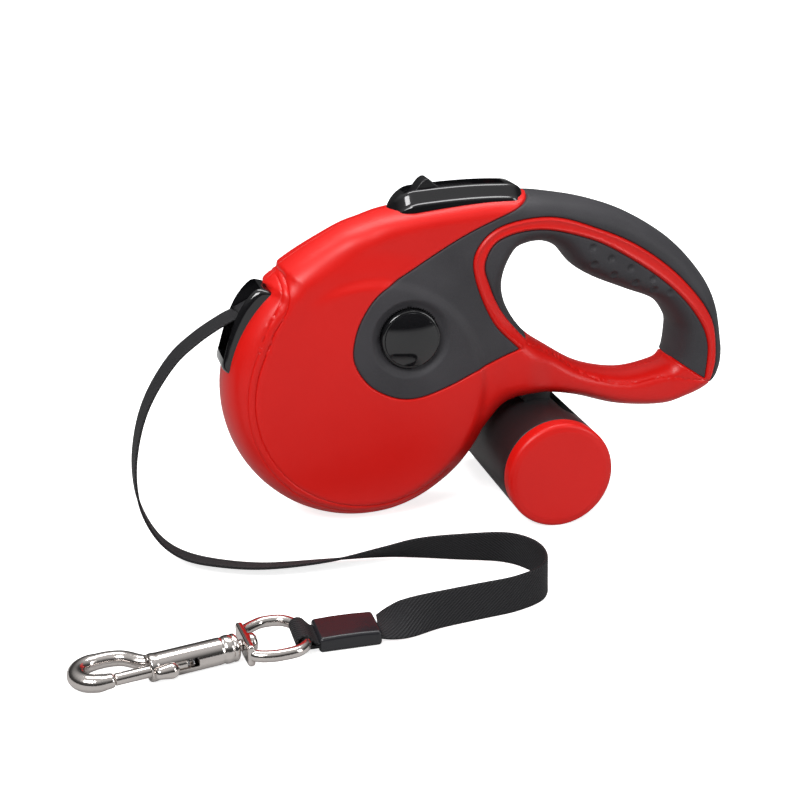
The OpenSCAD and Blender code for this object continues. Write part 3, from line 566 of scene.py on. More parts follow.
def grow(flat, faces):
    """The near side as a surface: x, y and z of each point from the reel's axis."""
    high = lift(flat)
    verts = np.stack([flat[:, 0], -high, flat[:, 1]], axis=1)
    edge = edge_distance(flat)
    a, b, c = verts[faces[:, 0]], verts[faces[:, 1]], verts[faces[:, 2]]
    face_normal = np.cross(b - a, c - a)
    normal = np.zeros_like(verts)
    for k in range(3):
        np.add.at(normal, faces[:, k], face_normal)
    normal /= np.maximum(np.linalg.norm(normal, axis=1), 1e-12)[:, None]
    verts = verts + normal * (relief(flat) * ease(edge, 0.02, 0.6))[:, None]
    return verts, edge


flat, net, middle = flat_net()
near, rim = grow(flat, net)
in_panel = inside(middle, panel_line)
in_pad = inside(middle, pad_line) & ~in_panel
print("housing side", len(flat), "points", len(net), "faces; panel", in_panel.sum(), "pad", in_pad.sum())


def side_piece(name, chosen, side, node):
    """One moulding of the housing: its outer skin, a parting line along its rim, and a wall behind it."""
    parts = net[chosen]
    used, again = np.unique(parts, return_inverse=True)
    parts = again.reshape(parts.shape)
    verts = near[used].copy()
    on_rim = rim[used] < 0.01
    if side > 0:
        for at in SCREWS:
            r = np.hypot(flat[used, 0] - at[0], flat[used, 1] - at[1])
            sunk = (r < SCREW_HOLE_R + 0.02) & ~on_rim
            verts[sunk, 1] = -5.3
    verts[on_rim, 1] = -0.22
    tris = [tuple(f) for f in parts]
    border = {}
    for f in tris:
        for i in range(3):
            e = (f[i], f[(i + 1) % 3])
            if (e[1], e[0]) in border:
                del border[(e[1], e[0])]
            else:
                border[e] = True
    rim_edges = [e for e in border if on_rim[e[0]] and on_rim[e[1]]]
    skirt = {}
    extra = []
    into = rim_inward(flat[used])
    for e in rim_edges:
        for v in e:
            if v not in skirt:
                skirt[v] = len(verts) + len(extra)
                extra.append((verts[v][0] + 0.3 * into[v][0], -0.05, verts[v][2] + 0.3 * into[v][1]))
        tris.append((e[1], e[0], skirt[e[0]]))
        tris.append((e[1], skirt[e[0]], skirt[e[1]]))
    verts = np.vstack([verts, extra]) if extra else verts
    return close_skin(name, verts, tris, side, node)


def rim_inward(p):
    """Direction away from the nearest edge, in the flat."""
    step = 0.05
    gx = edge_field(p + [step, 0]) - edge_field(p - [step, 0])
    gz = edge_field(p + [0, step]) - edge_field(p - [0, step])
    g = np.stack([gx, gz], axis=1)
    return g / np.maximum(np.linalg.norm(g, axis=1), 1e-9)[:, None]


def edge_field(p):
    sign = np.where(inside(p, outer) & ~inside(p, hole), 1, -1)
    return edge_distance(p) * sign


def close_skin(name, verts, tris, side, node, thick=1.1):
    verts = np.asarray(verts) * [1, -side, 1]
    if side > 0:
        tris = [(f[0], f[2], f[1]) for f in tris]
    at = (verts + [REEL[0], 0, REEL[1]]) * MM
    piece = new_piece(name, at, tris)
    modify(piece, "SOLIDIFY", thickness=thick * MM, offset=-1.0, use_rim=True)
    smooth_by_angle(piece, 42)
    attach(piece, "housing")
    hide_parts(node)
    return piece


shells = [side_piece("shell_side_" + word, ~in_panel & ~in_pad, side, "shell_" + word)
          for side, word in ((-1, "left"), (1, "right"))]
panels = [side_piece("grip_side_" + word, in_panel, side, "grip_panel_" + word)
          for side, word in ((-1, "left"), (1, "right"))]


def finger_band():
    """The soft band lines the opening on both sides and runs through it."""
    parts = net[in_pad]
    used, again = np.unique(parts, return_inverse=True)
    parts = again.reshape(parts.shape)
    verts = near[used]
    on_rim = rim[used] < 0.01
    n = len(verts)
    far_id = np.arange(n) + n
    far_id[on_rim] = np.nonzero(on_rim)[0]
    both = np.vstack([verts, verts * [1, -1, 1]])
    both[:n][on_rim, 1] = 0
    tris = [tuple(f) for f in parts] + [(far_id[f[0]], far_id[f[2]], far_id[f[1]]) for f in parts]
    return close_skin("finger_band", both * [1, 1, 1], tris, -1, "finger_pad")


pad = finger_band()


# ---------------------------------------------------------------- hub caps, nozzle, brake
def place(x, z):
    """Millimetres from the reel's axis to the object's own frame."""
    return x + REEL[0], z + REEL[1]


def reel_block(name, low, high):
    """A block set out from the reel's axis."""
    ends = [(x + REEL[0], y, z + REEL[1]) for x, y, z in (low, high)]
    return block(name, *ends)


def hub_cap(name, side, node):
    seat, flank, rise = 13.0, 2.6, 1.9
    profile = [(0, 0), (0, CAP_R)] + round_corner(flank - 0.7, CAP_R, flank + 0.15, CAP_R - 0.9, True)
    dome = np.linspace(CAP_R - 1.1, 0, 14)
    profile += [(flank + 0.2 + rise * (1 - (r / CAP_R) ** 2), r) for r in dome]
    x, z = place(*HUB)
    cap = turned(name, profile, along_axis(x, side * seat, z, (0, side, 0)), 128)
    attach(cap, "housing")
    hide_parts(node)
    return cap


hub_caps = [hub_cap("hub_cap_left", -1, "cover_cap_left"), hub_cap("hub_cap_right", 1, "cover_cap_right")]

NOZZLE_EDGE = [(-33, 37.5), (-37, 38), (-41.5, 33.6), (-44.6, 28.2), (-46.8, 22.5), (-48.5, 17),
               (-49.9, 11.5), (-48.4, 9.2)]
NOZZLE_HALF = 8.3
NOZZLE_BACK = 46.3
SLOT_HALF = 6.5
EXIT = (-43.0, 28.4)
LEAD_TILT = 27.0


def nozzle_piece():
    back = arc((0, 0), NOZZLE_BACK, 169, 131, 1.5)
    front = smooth_curve(NOZZLE_EDGE, 4)
    radius = 2.6
    rings = []
    for a in np.radians(np.linspace(90, -90, 25)):
        tight = radius * (1 - math.cos(a))
        y = (NOZZLE_HALF - radius) * np.sign(a) + radius * math.sin(a)
        pulled = front * (1 - tight / np.hypot(front[:, 0], front[:, 1]))[:, None]
        rings.append([(place(x, z)[0], y, place(x, z)[1]) for x, z in np.vstack([pulled, back])])
    piece = loft("nozzle_shell", rings)
    trough = [place(x, z) for x, z in np.vstack([
        arc((0, 0), NOZZLE_BACK + 1.4, 164, 133, 1.5), arc((0, 0), 62, 133, 164, 4)])]
    cut(piece, plate("trough", trough, -SLOT_HALF, SLOT_HALF))
    x, z = place(*EXIT)
    tilt = shift(x, 0, z) @ spun(-LEAD_TILT, "Y")
    cut(piece, block("mouth", (-14, -SLOT_HALF + 0.01, -1.9), (16, SLOT_HALF - 0.01, 3.1), tilt))
    bevel(piece, 0.4, 3)
    finish_mesh(piece, 40)
    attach(piece, "housing")
    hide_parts("nozzle")
    return piece


nozzle = nozzle_piece()


def open_shells():
    """Room in both shells for the nozzle and for the brake's slot."""
    for shell in shells:
        outline = [place(x, z) for x, z in np.vstack([
            smooth_curve(NOZZLE_EDGE, 4) * 1.12, arc((0, 0), 44.6, 169, 131, 1.5)])]
        cut(shell, plate("room", outline, 0.3 - NOZZLE_HALF, NOZZLE_HALF - 0.3))
        cut(shell, block("brake_room", (-26, -6, 108), (4, 6, 125)))
        smooth_by_angle(shell, 42)


open_shells()

BEZEL_X = (9.6, 58.7)
BEZEL_Z = (62.5, 66.0)
BEZEL_HALF = 9.0
BUTTON_HALF = 3.5
SLOT_X = (15.6, 51.7)
PEAK = (23.9, 71.7)
FOOT_Z = 60.45


def bezel_piece():
    x0, x1 = BEZEL_X
    z0, z1 = BEZEL_Z
    rings = []
    for t in np.linspace(0, 1, 41):
        nose = math.sin(math.pi * min(1, max(t, 1e-3) / 0.2) / 2) ** 0.55
        tail = math.sin(math.pi * min(1, max(1 - t, 1e-3) / 0.12) / 2) ** 0.5
        x = x0 + (x1 - x0) * t
        half = BEZEL_HALF * (0.35 + 0.65 * nose) * (0.6 + 0.4 * tail)
        crown = z0 - 2.6 + (z1 - z0 + 0.6) * t + 7.6 * nose * (0.5 + 0.5 * tail) - 3.4 * t ** 3
        low = z0 - 3.6 + 1.6 * t
        flank = [(half, low), (half, crown - 5.0), (half - 0.4, crown - 4.3), (half - 1.0, crown - 4.1),
                 (half - 1.6, crown - 3.4), (half - 3.2, crown - 0.9), (half - 3.7, crown - 0.3),
                 (half - 4.4, crown)]
        flank = [(max(y, 0.4), max(z, low + 0.02 * k)) for k, (y, z) in enumerate(flank)]
        ring = flank + [(-y, z) for y, z in reversed(flank)]
        rings.append([(x + REEL[0], y, z + REEL[1]) for y, z in ring])
    piece = loft("brake_frame", rings)
    w = BUTTON_HALF + 0.4
    lay = spun(90, "X")
    front, back, corner = SLOT_X[0], SLOT_X[1], 1.2
    plan = [(front, -w), (front, w)] + round_corner(back - corner, w, back, w - corner, True) \
        + round_corner(back, corner - w, back - corner, -w, False)
    cut(piece, plate("slot", [(x + REEL[0], -y) for x, y in plan], 57 + REEL[1], 90 + REEL[1], lay))
    cut(piece, reel_block("foot_room", (front - 0.2, -w - 1.3, 54), (back + 0.2, w + 1.3, FOOT_Z + 1.7)))
    finish_mesh(piece, 32)
    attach(piece, "housing")
    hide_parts("brake_bezel")
    return piece


bezel = bezel_piece()


def button_piece():
    front, tail_end = SLOT_X[0] + 0.4, SLOT_X[1] - 8.4
    tail_z = PEAK[1] - 3.7
    hump = smooth_curve([(front + 2.4, PEAK[1] - 5.4), (PEAK[0] - 2.4, PEAK[1] - 1.2), PEAK,
                         (PEAK[0] + 2.2, PEAK[1] - 1.6), (PEAK[0] + 5, tail_z)], 6)
    outline = [(front, FOOT_Z + 0.05), (front, PEAK[1] - 6.8), *map(tuple, hump), (tail_end - 1.5, tail_z),
               (tail_end, tail_z - 1.2), (tail_end, FOOT_Z + 0.05)]
    piece = plate("brake_thumb", [place(*p) for p in outline], -BUTTON_HALF, BUTTON_HALF)
    bevel(piece, 0.55, 4, 25)
    ribs = []
    for i in range(8):
        x = PEAK[0] + 6.4 + 1.15 * i
        rib_half = BUTTON_HALF - 0.8
        rib = reel_block("rib", (x, -rib_half, tail_z - 0.2), (x + 0.6, rib_half, tail_z + 0.4))
        bevel(rib, 0.2, 2)
        ribs.append(rib)
    foot_half = BUTTON_HALF + 1.3
    foot = reel_block("foot", (front, -foot_half, FOOT_Z), (tail_end, foot_half, FOOT_Z + 1.2))
    piece = join("brake_thumb", piece, *ribs, foot)
    smooth_by_angle(piece, 40)
    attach(piece, "button")
    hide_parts("brake_button")
    return piece


button = button_piece()

# ---------------------------------------------------------------- bag dispenser
TUBE_AT = (64.8, -30.5)
TUBE_R = 19.5
TUBE_WALL = 1.8
TUBE_FRONT = -29.0
TUBE_BACK = 35.0
CAP_FRONT = -35.0
SLOT_ANGLE = 62


def tube_piece():
    x, z = place(*TUBE_AT)
    length = TUBE_BACK - TUBE_FRONT
    inner = TUBE_R - TUBE_WALL
    profile = [(0.15, inner), (0.15, TUBE_R - 0.4)] \
        + round_corner(0.15, TUBE_R - 0.4, 0.55, TUBE_R, False)[1:] \
        + [(length * k / 12, TUBE_R) for k in range(1, 12)] \
        + round_corner(length - 1.2, TUBE_R, length, TUBE_R - 1.2, True) \
        + [(length, 6), (length, 0), (length - 2, 0), (length - 2, inner), (0.15, inner)]
    piece = turned("bag_tube", profile, along_axis(x, TUBE_FRONT, z, (0, 1, 0)), 128)
    turn = shift(x, 0, z) @ spun(90 - SLOT_ANGLE, "Y")
    y0, y1, w = TUBE_FRONT + 10, TUBE_FRONT + 44, 3.2
    mouth = np.vstack([arc((0, y0 + w), w, 180, 360, 0.6), arc((0, y1 - w), w, 0, 180, 0.6)])
    lay = turn @ spun(-90, "X")
    cutter = plate("bag_mouth", [tuple(p) for p in mouth], -26, -12, lay)
    cut(piece, cutter)
    rail = block("rail", (x - 5, -8, z + TUBE_R - 1.6), (x + 5, 8, z + TUBE_R + 6))
    bevel(rail, 0.4, 2)
    piece = join("bag_tube", piece, rail)
    smooth_by_angle(piece, 35)
    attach(piece, "housing")
    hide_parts("dispenser_tube")
    return piece


tube = tube_piece()


def tube_cap():
    x, z = place(*TUBE_AT)
    high = TUBE_FRONT - CAP_FRONT
    profile = [(-3.2, 0), (-3.2, 15.7), (-3.2, 17.2), (0, 17.2), (0, TUBE_R - 0.25), (0.25, TUBE_R)] \
        + round_corner(high - 1.9, TUBE_R, high - 0.25, TUBE_R - 1.9, True, 8) \
        + [(high - 0.1, TUBE_R - 2.3), (high - 0.02, TUBE_R - 3), (high, TUBE_R - 4), (high, 9), (high, 0)]
    cap = turned("tube_cap", profile, along_axis(x, TUBE_FRONT, z, (0, -1, 0)), 160)
    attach(cap, "dispenser_cap")
    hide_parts("dispenser_cap")
    return cap


cap = tube_cap()

# ---------------------------------------------------------------- sleeve and the tape's end
SLEEVE_END = (-62.2, -92.7)
SLEEVE_LONG = 19.5
SLEEVE_HALF = 6.9
SLEEVE_HIGH = 5.2
FLOOR_GAP = 0.1
LAYER_Z = FLOOR_GAP + SLEEVE_HIGH / 2
EYE_BAR = (-86.3, -93.7)
SNAP_Z = 4.4
EYE_TURN = 5.0
HOOK_TURN = 6.5
EYE_BASE = -17.4


def sleeve_piece():
    x1, y = SLEEVE_END
    piece = block("sleeve", (x1 - SLEEVE_LONG, y - SLEEVE_HALF, FLOOR_GAP),
                  (x1, y + SLEEVE_HALF, FLOOR_GAP + SLEEVE_HIGH))
    edit(piece)
    bpy.ops.mesh.subdivide(number_cuts=2)
    close_edit()
    for vertex in piece.data.vertices:
        t = abs(vertex.co.x / MM - (x1 - SLEEVE_LONG / 2)) / (SLEEVE_LONG / 2)
        vertex.co.z -= MM * 0.35 * t * t * (1 if vertex.co.z > LAYER_Z * MM else 0)
    bevel(piece, 1.15, 6)
    cut(piece, block("tape_way", (x1 - 40, y - 6.15, LAYER_Z - 1.05), (x1 + 20, y + 6.15, LAYER_Z + 1.05)))
    finish_mesh(piece, 40)
    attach(piece, "housing")
    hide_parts("tape_sleeve")
    return piece


sleeve = sleeve_piece()


def end_loop():
    """Doubled tape from the sleeve round the bar of the eye."""
    bx, by = EYE_BAR
    r = 2.2
    start = SLEEVE_END[0] - 4
    over = [(start, LAYER_Z + 0.47), (bx + 5.5, LAYER_Z + 0.5), (bx + 3, LAYER_Z + 1.6)]
    round_bar = [(bx + r * math.cos(t), SNAP_Z + r * math.sin(t))
                 for t in np.radians(np.arange(50, 301, 18))]
    under = [(bx + 3, LAYER_Z - 0.55), (bx + 5.5, LAYER_Z - 0.47), (start, LAYER_Z - 0.47)]
    route = [(x, by + 0.4, z, 0) for x, z in over + round_bar + under]
    piece = tape_ribbon("end_loop", route, TAPE_WIDTH, TAPE_THICK)[0]
    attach(piece, "housing")
    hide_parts("tape_end_loop")
    return piece


loop = end_loop()

# ---------------------------------------------------------------- swivel eye and snap hook
AT_EYE = shift(*EYE_BAR, SNAP_Z) @ spun(EYE_TURN, "Z")
AT_HOOK = AT_EYE @ shift(EYE_BASE, 0, 0) @ spun(HOOK_TURN, "Z") @ shift(-EYE_BASE, 0, 0)
TO_X = spun(90, "Y")
EYE_R = 1.8
EYE_W = 9.3
COLLAR_X = -20.0
POST_IN = -23.4
BARREL_X = -47.0
NOSE_X = -58.0
BOLT_Y = -2.2
BOLT_R = 1.8
ARM_Y = 10.0
BEND_R = (ARM_Y - BOLT_Y) / 2
KNOB_X = -42.5
KNOB_UP = 6.0
ROD_END = BARREL_X + 10.6


def lathe_x(name, profile, y, frame_at, steps=64):
    """Turned about a line along the local X axis at a given y; the profile is x and radius."""
    return turned(name, profile, frame_at @ shift(0, y, 0) @ TO_X, steps)


def cast(piece, voxel, rounds=4):
    """Melts joined parts into one casting with small fillets."""
    modify(piece, "REMESH", mode="VOXEL", voxel_size=voxel * MM)
    modify(piece, "SMOOTH", factor=0.5, iterations=rounds)
    for poly in piece.data.polygons:
        poly.use_smooth = True


def eye_piece():
    w, b = EYE_W, EYE_BASE
    side = [(b + 0.4, w - 3), (b + 2, w - 1.2), (b + 5, w + 0.6), (-9, w + 1.8), (-4, w + 1.2),
            (-1, w - 1.4), (0, w - 4.5), (0, 4.5 - w), (-1, 1.8 - w), (-4, -w - 0.1), (-9, -w - 0.5), (b + 5, -w),
            (b + 2, 1.2 - w), (b + 0.4, 3 - w)]
    line = smooth_curve(side, 8)
    hoop = wire("hoop", np.column_stack([line, np.full(len(line), EYE_R)]), AT_EYE)
    base = block("base", (b - 1, 1.2 - w, -3.4), (b + 1.3, w - 1.2, 3.4), AT_EYE)
    bevel(base, 0.8, 4)
    post = lathe_x("post", [(POST_IN, 0), (POST_IN, 2.5), (POST_IN + 1.5, 2.5), (POST_IN + 1.6, 1.75),
                            (b + 0.9, 1.75), (b + 0.9, 3.1)] + round_corner(b + 2.2, 3.1, b + 3.6, 1.5, True)
                   + [(b + 3.7, 0)], 0, AT_HOOK)
    piece = join("eye", hoop, base, post)
    cast(piece, 0.2)
    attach(piece, "housing")
    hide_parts("swivel_eye")
    return piece


eye = eye_piece()


def hook_piece():
    r = 2.2
    x0, x1 = BARREL_X, COLLAR_X
    lip = [(x0 - 0.3, 0), (x0 - 0.3, 3.8), (x0, 4.15), (x0 + 0.9, 4.25), (x0 + 1.7, 4.2), (x0 + 2.2, 4.1)]
    tube_side = [(x0 + 3 + k * 1.5, 4.1) for k in range(12)]
    collar = [(x1 - 5.4, 4.1), (x1 - 4.9, 3.9), (x1 - 4.5, 3.95), (x1 - 4.1, 4.25), (x1 - 3.2, 4.32),
              (x1 - 2.2, 4.25), (x1 - 1.8, 4.0), (x1 - 1.4, 4.3), (x1 - 0.5, 4.2), (x1, 3.5), (x1, 0)]
    barrel = lathe_x("barrel", lip + tube_side + collar, -0.35, AT_HOOK, 96)
    arm = smooth_curve([(x0 + 7, 1.7, 1.4), (x0 + 3, 2.1, 1.8), (x0 - 1, 3.9, 2.25),
                        (x0 - 5, ARM_Y - 1.8, 2.35), (x0 - 9, ARM_Y - 0.2, 2.4), (NOSE_X - 2, ARM_Y, 2.45)], 6)
    bend = [(NOSE_X - 2.6 + (BEND_R + 0.4) * math.cos(a), BOLT_Y + BEND_R + BEND_R * math.sin(a),
             r + 0.55 * math.sin(a / 2))
            for a in np.radians(np.arange(98, 263, 8))]
    nose = [(NOSE_X - 2, BOLT_Y, r + 0.1), (NOSE_X - 0.6, BOLT_Y, r), (NOSE_X, BOLT_Y, r - 0.25)]
    hook = wire("arm", np.vstack([arm, bend, nose]), AT_HOOK, 28)
    piece = join("hook", barrel, hook)
    cast(piece, 0.2, 5)
    tilt = AT_HOOK @ spun(-KNOB_UP, "X")
    cut(piece, block("knob_way", (KNOB_X - 1.5, -9, -1.4), (KNOB_X + 9.5, BOLT_Y, 1.4), tilt))
    bore_r = BOLT_R + 0.06
    bore = [(x0 - 2, 0), (x0 - 2, bore_r), (x1 - 5.2, bore_r), (x1 - 5.2, 0)]
    cut(piece, lathe_x("bore", bore, BOLT_Y, AT_HOOK, 48))
    seat = [(POST_IN - 0.4, 0), (POST_IN - 0.4, 2.95), (POST_IN + 2.0, 2.95), (POST_IN + 2.0, 1.87),
            (x1 + 1, 1.87), (x1 + 1, 0)]
    cut(piece, lathe_x("seat", seat, 0, AT_HOOK, 48))
    smooth_by_angle(piece, 45)
    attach(piece, "snap")
    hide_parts("snap_body")
    return piece


hook = hook_piece()


def bolt_piece():
    start = NOSE_X + 0.2
    rod = lathe_x("rod", [(start, 0), (start, BOLT_R - 0.3), (start + 0.3, BOLT_R)]
                  + [(start + 1 + k, BOLT_R) for k in range(15)] + [(ROD_END, BOLT_R), (ROD_END, 0)],
                  BOLT_Y, AT_HOOK)
    tilt = AT_HOOK @ spun(-KNOB_UP, "X")
    knob_y = BOLT_Y - BOLT_R - 0.9 - 0.3
    leg = turned("leg", [(0, 0), (0, 1.05), (3.4, 1.05), (3.4, 0)],
                 tilt @ along_axis(KNOB_X, BOLT_Y, 0, (0, -1, 0)), 32)
    body = [(-1.9 * math.cos(t), 1.9 * math.sin(t)) for t in np.radians(np.arange(0, 91, 10))] \
        + [(3.2 + 2.4 * math.sin(t), 2.4 * math.cos(t)) for t in np.radians(np.arange(0, 91, 10))]
    thumb = turned("thumb", body, tilt @ shift(KNOB_X - 2.6, knob_y - 0.4, 0) @ TO_X, 48)
    cut(thumb, block("flat", (KNOB_X - 12, knob_y, -8), (KNOB_X + 12, knob_y + 8, 8), tilt))
    piece = join("hook_bolt", rod, leg, thumb)
    cast(piece, 0.14, 3)
    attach(piece, "snap_bolt")
    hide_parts("snap_bolt")
    return piece


bolt = bolt_piece()


def coil_spring(name, node, frame_at, radius, length, turns, gauge):
    """A coil round the local X axis, from 0 to its length, with closed ends."""
    t = np.linspace(0, 1, turns * 14)
    along = gauge + (length - 2 * gauge) * np.clip((t - 0.08) / 0.84, 0, 1)
    a = 2 * math.pi * turns * t
    out = np.column_stack([np.zeros(len(t)), np.cos(a), np.sin(a)])
    centre = radius * out + np.column_stack([along, np.zeros(len(t)), np.zeros(len(t))])
    forward = np.gradient(centre, axis=0)
    forward /= np.linalg.norm(forward, axis=1)[:, None]
    across = np.cross(forward, out)
    rings = [[c + gauge * (math.cos(b) * o + math.sin(b) * w) for b in np.radians(np.arange(0, 360, 45))]
             for c, o, w in zip(centre, out, across)]
    spring = loft(name, rings)
    spring.data.transform(frame_at)
    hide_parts(node)
    return spring


def springs():
    """The bolt's spring in the barrel and the brake's under the plunger."""
    front, back = ROD_END + 0.15, COLLAR_X - 5.35
    at = AT_HOOK @ shift(front, BOLT_Y, 0)
    bolt_coil = coil_spring("bolt_coil", "bolt_spring", at, 1.25, back - front, 7, 0.22)
    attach(bolt_coil, "snap")
    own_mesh(bolt_coil)
    low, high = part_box("brake_spring")
    length = (high.z - low.z) / MM
    foot = Vector(((low.x + high.x) / 2, 0, low.z))
    upright = Matrix.Translation(foot) @ spun(-90, "Y")
    gauge = 0.3
    radius = (high.x - low.x) / 2 / MM - gauge
    brake_coil = coil_spring("brake_coil", "brake_spring", upright, radius, length, 5, gauge)
    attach(brake_coil, "housing")
    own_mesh(brake_coil)
    return bolt_coil, brake_coil


bolt_coil, brake_coil = springs()

[tuple(p * MM) for p in tape_line]


# ---------------------------------------------------------------- finishes
class Wire:
    """A shader socket that takes part in sums."""

    def __init__(self, finish, socket):
        self.finish = finish
        self.socket = socket

    def sum(self, operation, first, second=None, third=None):
        values = [v for v in (first, second, third) if v is not None]
        return self.finish.node("ShaderNodeMath", {"operation": operation}, dict(enumerate(values)))

    def __add__(self, other):
        return self.sum("ADD", self, other)

    __radd__ = __add__

    def __sub__(self, other):
        return self.sum("SUBTRACT", self, other)

    def __rsub__(self, other):
        return self.sum("SUBTRACT", other, self)

    def __mul__(self, other):
        return self.sum("MULTIPLY", self, other)

    __rmul__ = __mul__

    def __pow__(self, other):
        return self.sum("POWER", self, other)

    def sine(self):
        return self.sum("SINE", self)

    def clamp(self, low=0.0, high=1.0):
        return self.finish.node("ShaderNodeClamp", {}, {0: self, 1: low, 2: high})


class Finish:
    """One material: a Principled surface whose sockets are set or fed by nodes."""

    def __init__(self, name, color, rough, metal=0.0, **sockets):
        self.material = bpy.data.materials.new(name)
        self.material.use_nodes = True
        self.tree = self.material.node_tree
        self.surface = self.tree.nodes["Principled BSDF"]
        self.color = color
        self.feed("Base Color", (*color, 1.0))
        self.feed("Roughness", rough)
        self.feed("Metallic", metal)
        for key, value in sockets.items():
            self.feed(key.replace("_", " ").title().replace("Ior", "IOR"), value)

    def feed(self, name, value):
        self.link(self.surface.inputs[name], value)

    def link(self, target, value):
        if isinstance(value, Wire):
            self.tree.links.new(value.socket, target)
        else:
            target.default_value = value

    def node(self, kind, settings, sockets, out=0):
        made = self.tree.nodes.new(kind)
        for key, value in settings.items():
            if key == "stops":
                ramp = made.color_ramp.elements
                while len(ramp) < len(value):
                    ramp.new(0.5)
                for stop, (at, tone) in zip(ramp, value):
                    stop.position = at
                    stop.color = (*tone, 1.0)
            else:
                setattr(made, key, value)
        for key, value in sockets.items():
            self.link(made.inputs[key], value)
        return Wire(self, made.outputs[out])

    def coords(self, scale=(1000.0, 1000.0, 1000.0)):
        place = self.node("ShaderNodeTexCoord", {}, {}, out="Object")
        return self.node("ShaderNodeMapping", {}, {"Vector": place, "Scale": scale})

    def noise(self, vector, scale, detail=2.0, rough=0.5):
        fed = {"Vector": vector, "Scale": scale, "Detail": detail, "Roughness": rough}
        return self.node("ShaderNodeTexNoise", {}, fed)

    def tint(self, mask, low, high):
        ends = {0: mask, 6: (*low, 1.0), 7: (*high, 1.0)}
        self.feed("Base Color", self.node("ShaderNodeMix", {"data_type": "RGBA"}, ends, out=2))

    def bump(self, height, strength, depth_mm):
        fed = {"Strength": strength, "Distance": depth_mm * MM, "Height": height}
        self.feed("Normal", self.node("ShaderNodeBump", {}, fed))


def moulded(name, low, high, rough, grain_mm, strength, swing=0.06, **sockets):
    """Injection moulded plastic with a fine spark-eroded grain and a slight wander in tone."""
    finish = Finish(name, low, rough, **sockets)
    at = finish.coords()
    grain = finish.noise(at, 1.0 / grain_mm, 3.0, 0.6)
    wander = finish.noise(at, 0.035, 2.0)
    finish.tint((wander * 0.7 + grain * 0.5 - 0.1).clamp(), low, high)
    finish.feed("Roughness", (wander * swing * 2 + grain * swing + (rough - swing * 1.5)).clamp(0.03, 1.0))
    finish.bump(grain, strength, 0.08)
    return finish


def plated(name, color, rough, streak):
    """Polished plating: faint wiping marks and tiny pits."""
    finish = Finish(name, color, rough, metal=1.0)
    at = finish.coords((900.0, 2600.0, 2600.0))
    marks = finish.noise(at, 0.35, 4.0, 0.65)
    cloud = finish.noise(finish.coords(), 0.12, 2.0)
    worn = marks * streak + cloud * streak * 0.6 + (rough - streak * 0.8)
    finish.feed("Roughness", worn.clamp(0.02, 1.0))
    finish.tint(cloud.clamp(), tuple(0.93 * c for c in color), color)
    finish.bump(marks, 0.05, 0.02)
    return finish


def woven(name):
    """Black polyester twill tape: slanted ribs of short yarn floats and a firm selvage."""
    finish = Finish(name, (0.01, 0.01, 0.011), 0.62, specular_ior_level=0.3)
    uv = finish.node("ShaderNodeUVMap", {"uv_map": "tape"}, {})
    u = finish.node("ShaderNodeSeparateXYZ", {}, {0: uv}, out=0)
    v = finish.node("ShaderNodeSeparateXYZ", {}, {0: uv}, out=1)
    ribs = ((u * 4.4 + v * 5.6).sine() * 0.5 + 0.5) ** 1.4
    floats = (u * 4.4 - v * 11.2).sine() * 0.5 + 0.5
    fuzz = finish.noise(finish.coords(), 6.0, 2.0)
    weave = ribs * 0.7 + floats * 0.3
    finish.tint((weave * 0.75 + fuzz * 0.3 - 0.1).clamp(), (0.0015, 0.0015, 0.002), (0.034, 0.033, 0.037))
    finish.feed("Roughness", (0.5 + fuzz * 0.25).clamp())
    finish.bump(weave + fuzz * 0.25, 0.85, 0.3)
    return finish


def paper(name, low, high, rough):
    finish = Finish(name, low, rough)
    fibre = finish.noise(finish.coords((900.0, 300.0, 900.0)), 1.1, 4.0)
    finish.tint(fibre.clamp(), low, high)
    finish.bump(fibre, 0.2, 0.05)
    return finish


FINISHES = {
    "body_red": moulded("satin red ABS", (0.66, 0.006, 0.004), (0.78, 0.01, 0.006), 0.36, 0.3, 0.22,
                        specular_ior_level=0.4),
    "grip": moulded("soft touch charcoal", (0.012, 0.012, 0.014), (0.075, 0.072, 0.08), 0.55, 0.28, 0.45,
                    0.08, specular_ior_level=0.35),
    "gloss_black": moulded("gloss black", (0.004, 0.004, 0.005), (0.008, 0.008, 0.009), 0.1, 1.2, 0.02, 0.02,
                           coat_weight=0.6, coat_roughness=0.04),
    "trim_black": moulded("trim black", (0.006, 0.006, 0.007), (0.014, 0.014, 0.015), 0.26, 0.4, 0.08, 0.03),
    "inner_plastic": moulded("inner plastic", (0.03, 0.03, 0.033), (0.05, 0.05, 0.054), 0.45, 0.5, 0.1),
    "steel": plated("steel", (0.52, 0.52, 0.54), 0.3, 0.12),
    "webbing": woven("twill tape"),
    "tube_black": moulded("matt black tube", (0.008, 0.008, 0.009), (0.02, 0.02, 0.022), 0.42, 0.3, 0.22,
                          0.05),
    "bag_film": moulded("bag film", (0.04, 0.2, 0.09), (0.07, 0.28, 0.13), 0.4, 1.5, 0.3),
    "card": paper("core card", (0.3, 0.2, 0.11), (0.42, 0.3, 0.18), 0.85),
    "sleeve_black": moulded("sleeve black", (0.009, 0.009, 0.011), (0.02, 0.02, 0.024), 0.24, 0.35, 0.06,
                            0.03),
    "nickel": plated("polished nickel", (0.74, 0.69, 0.66), 0.14, 0.05),
}


def dress(piece, slot):
    piece.data.materials.clear()
    piece.data.materials.append(FINISHES[slot].material)


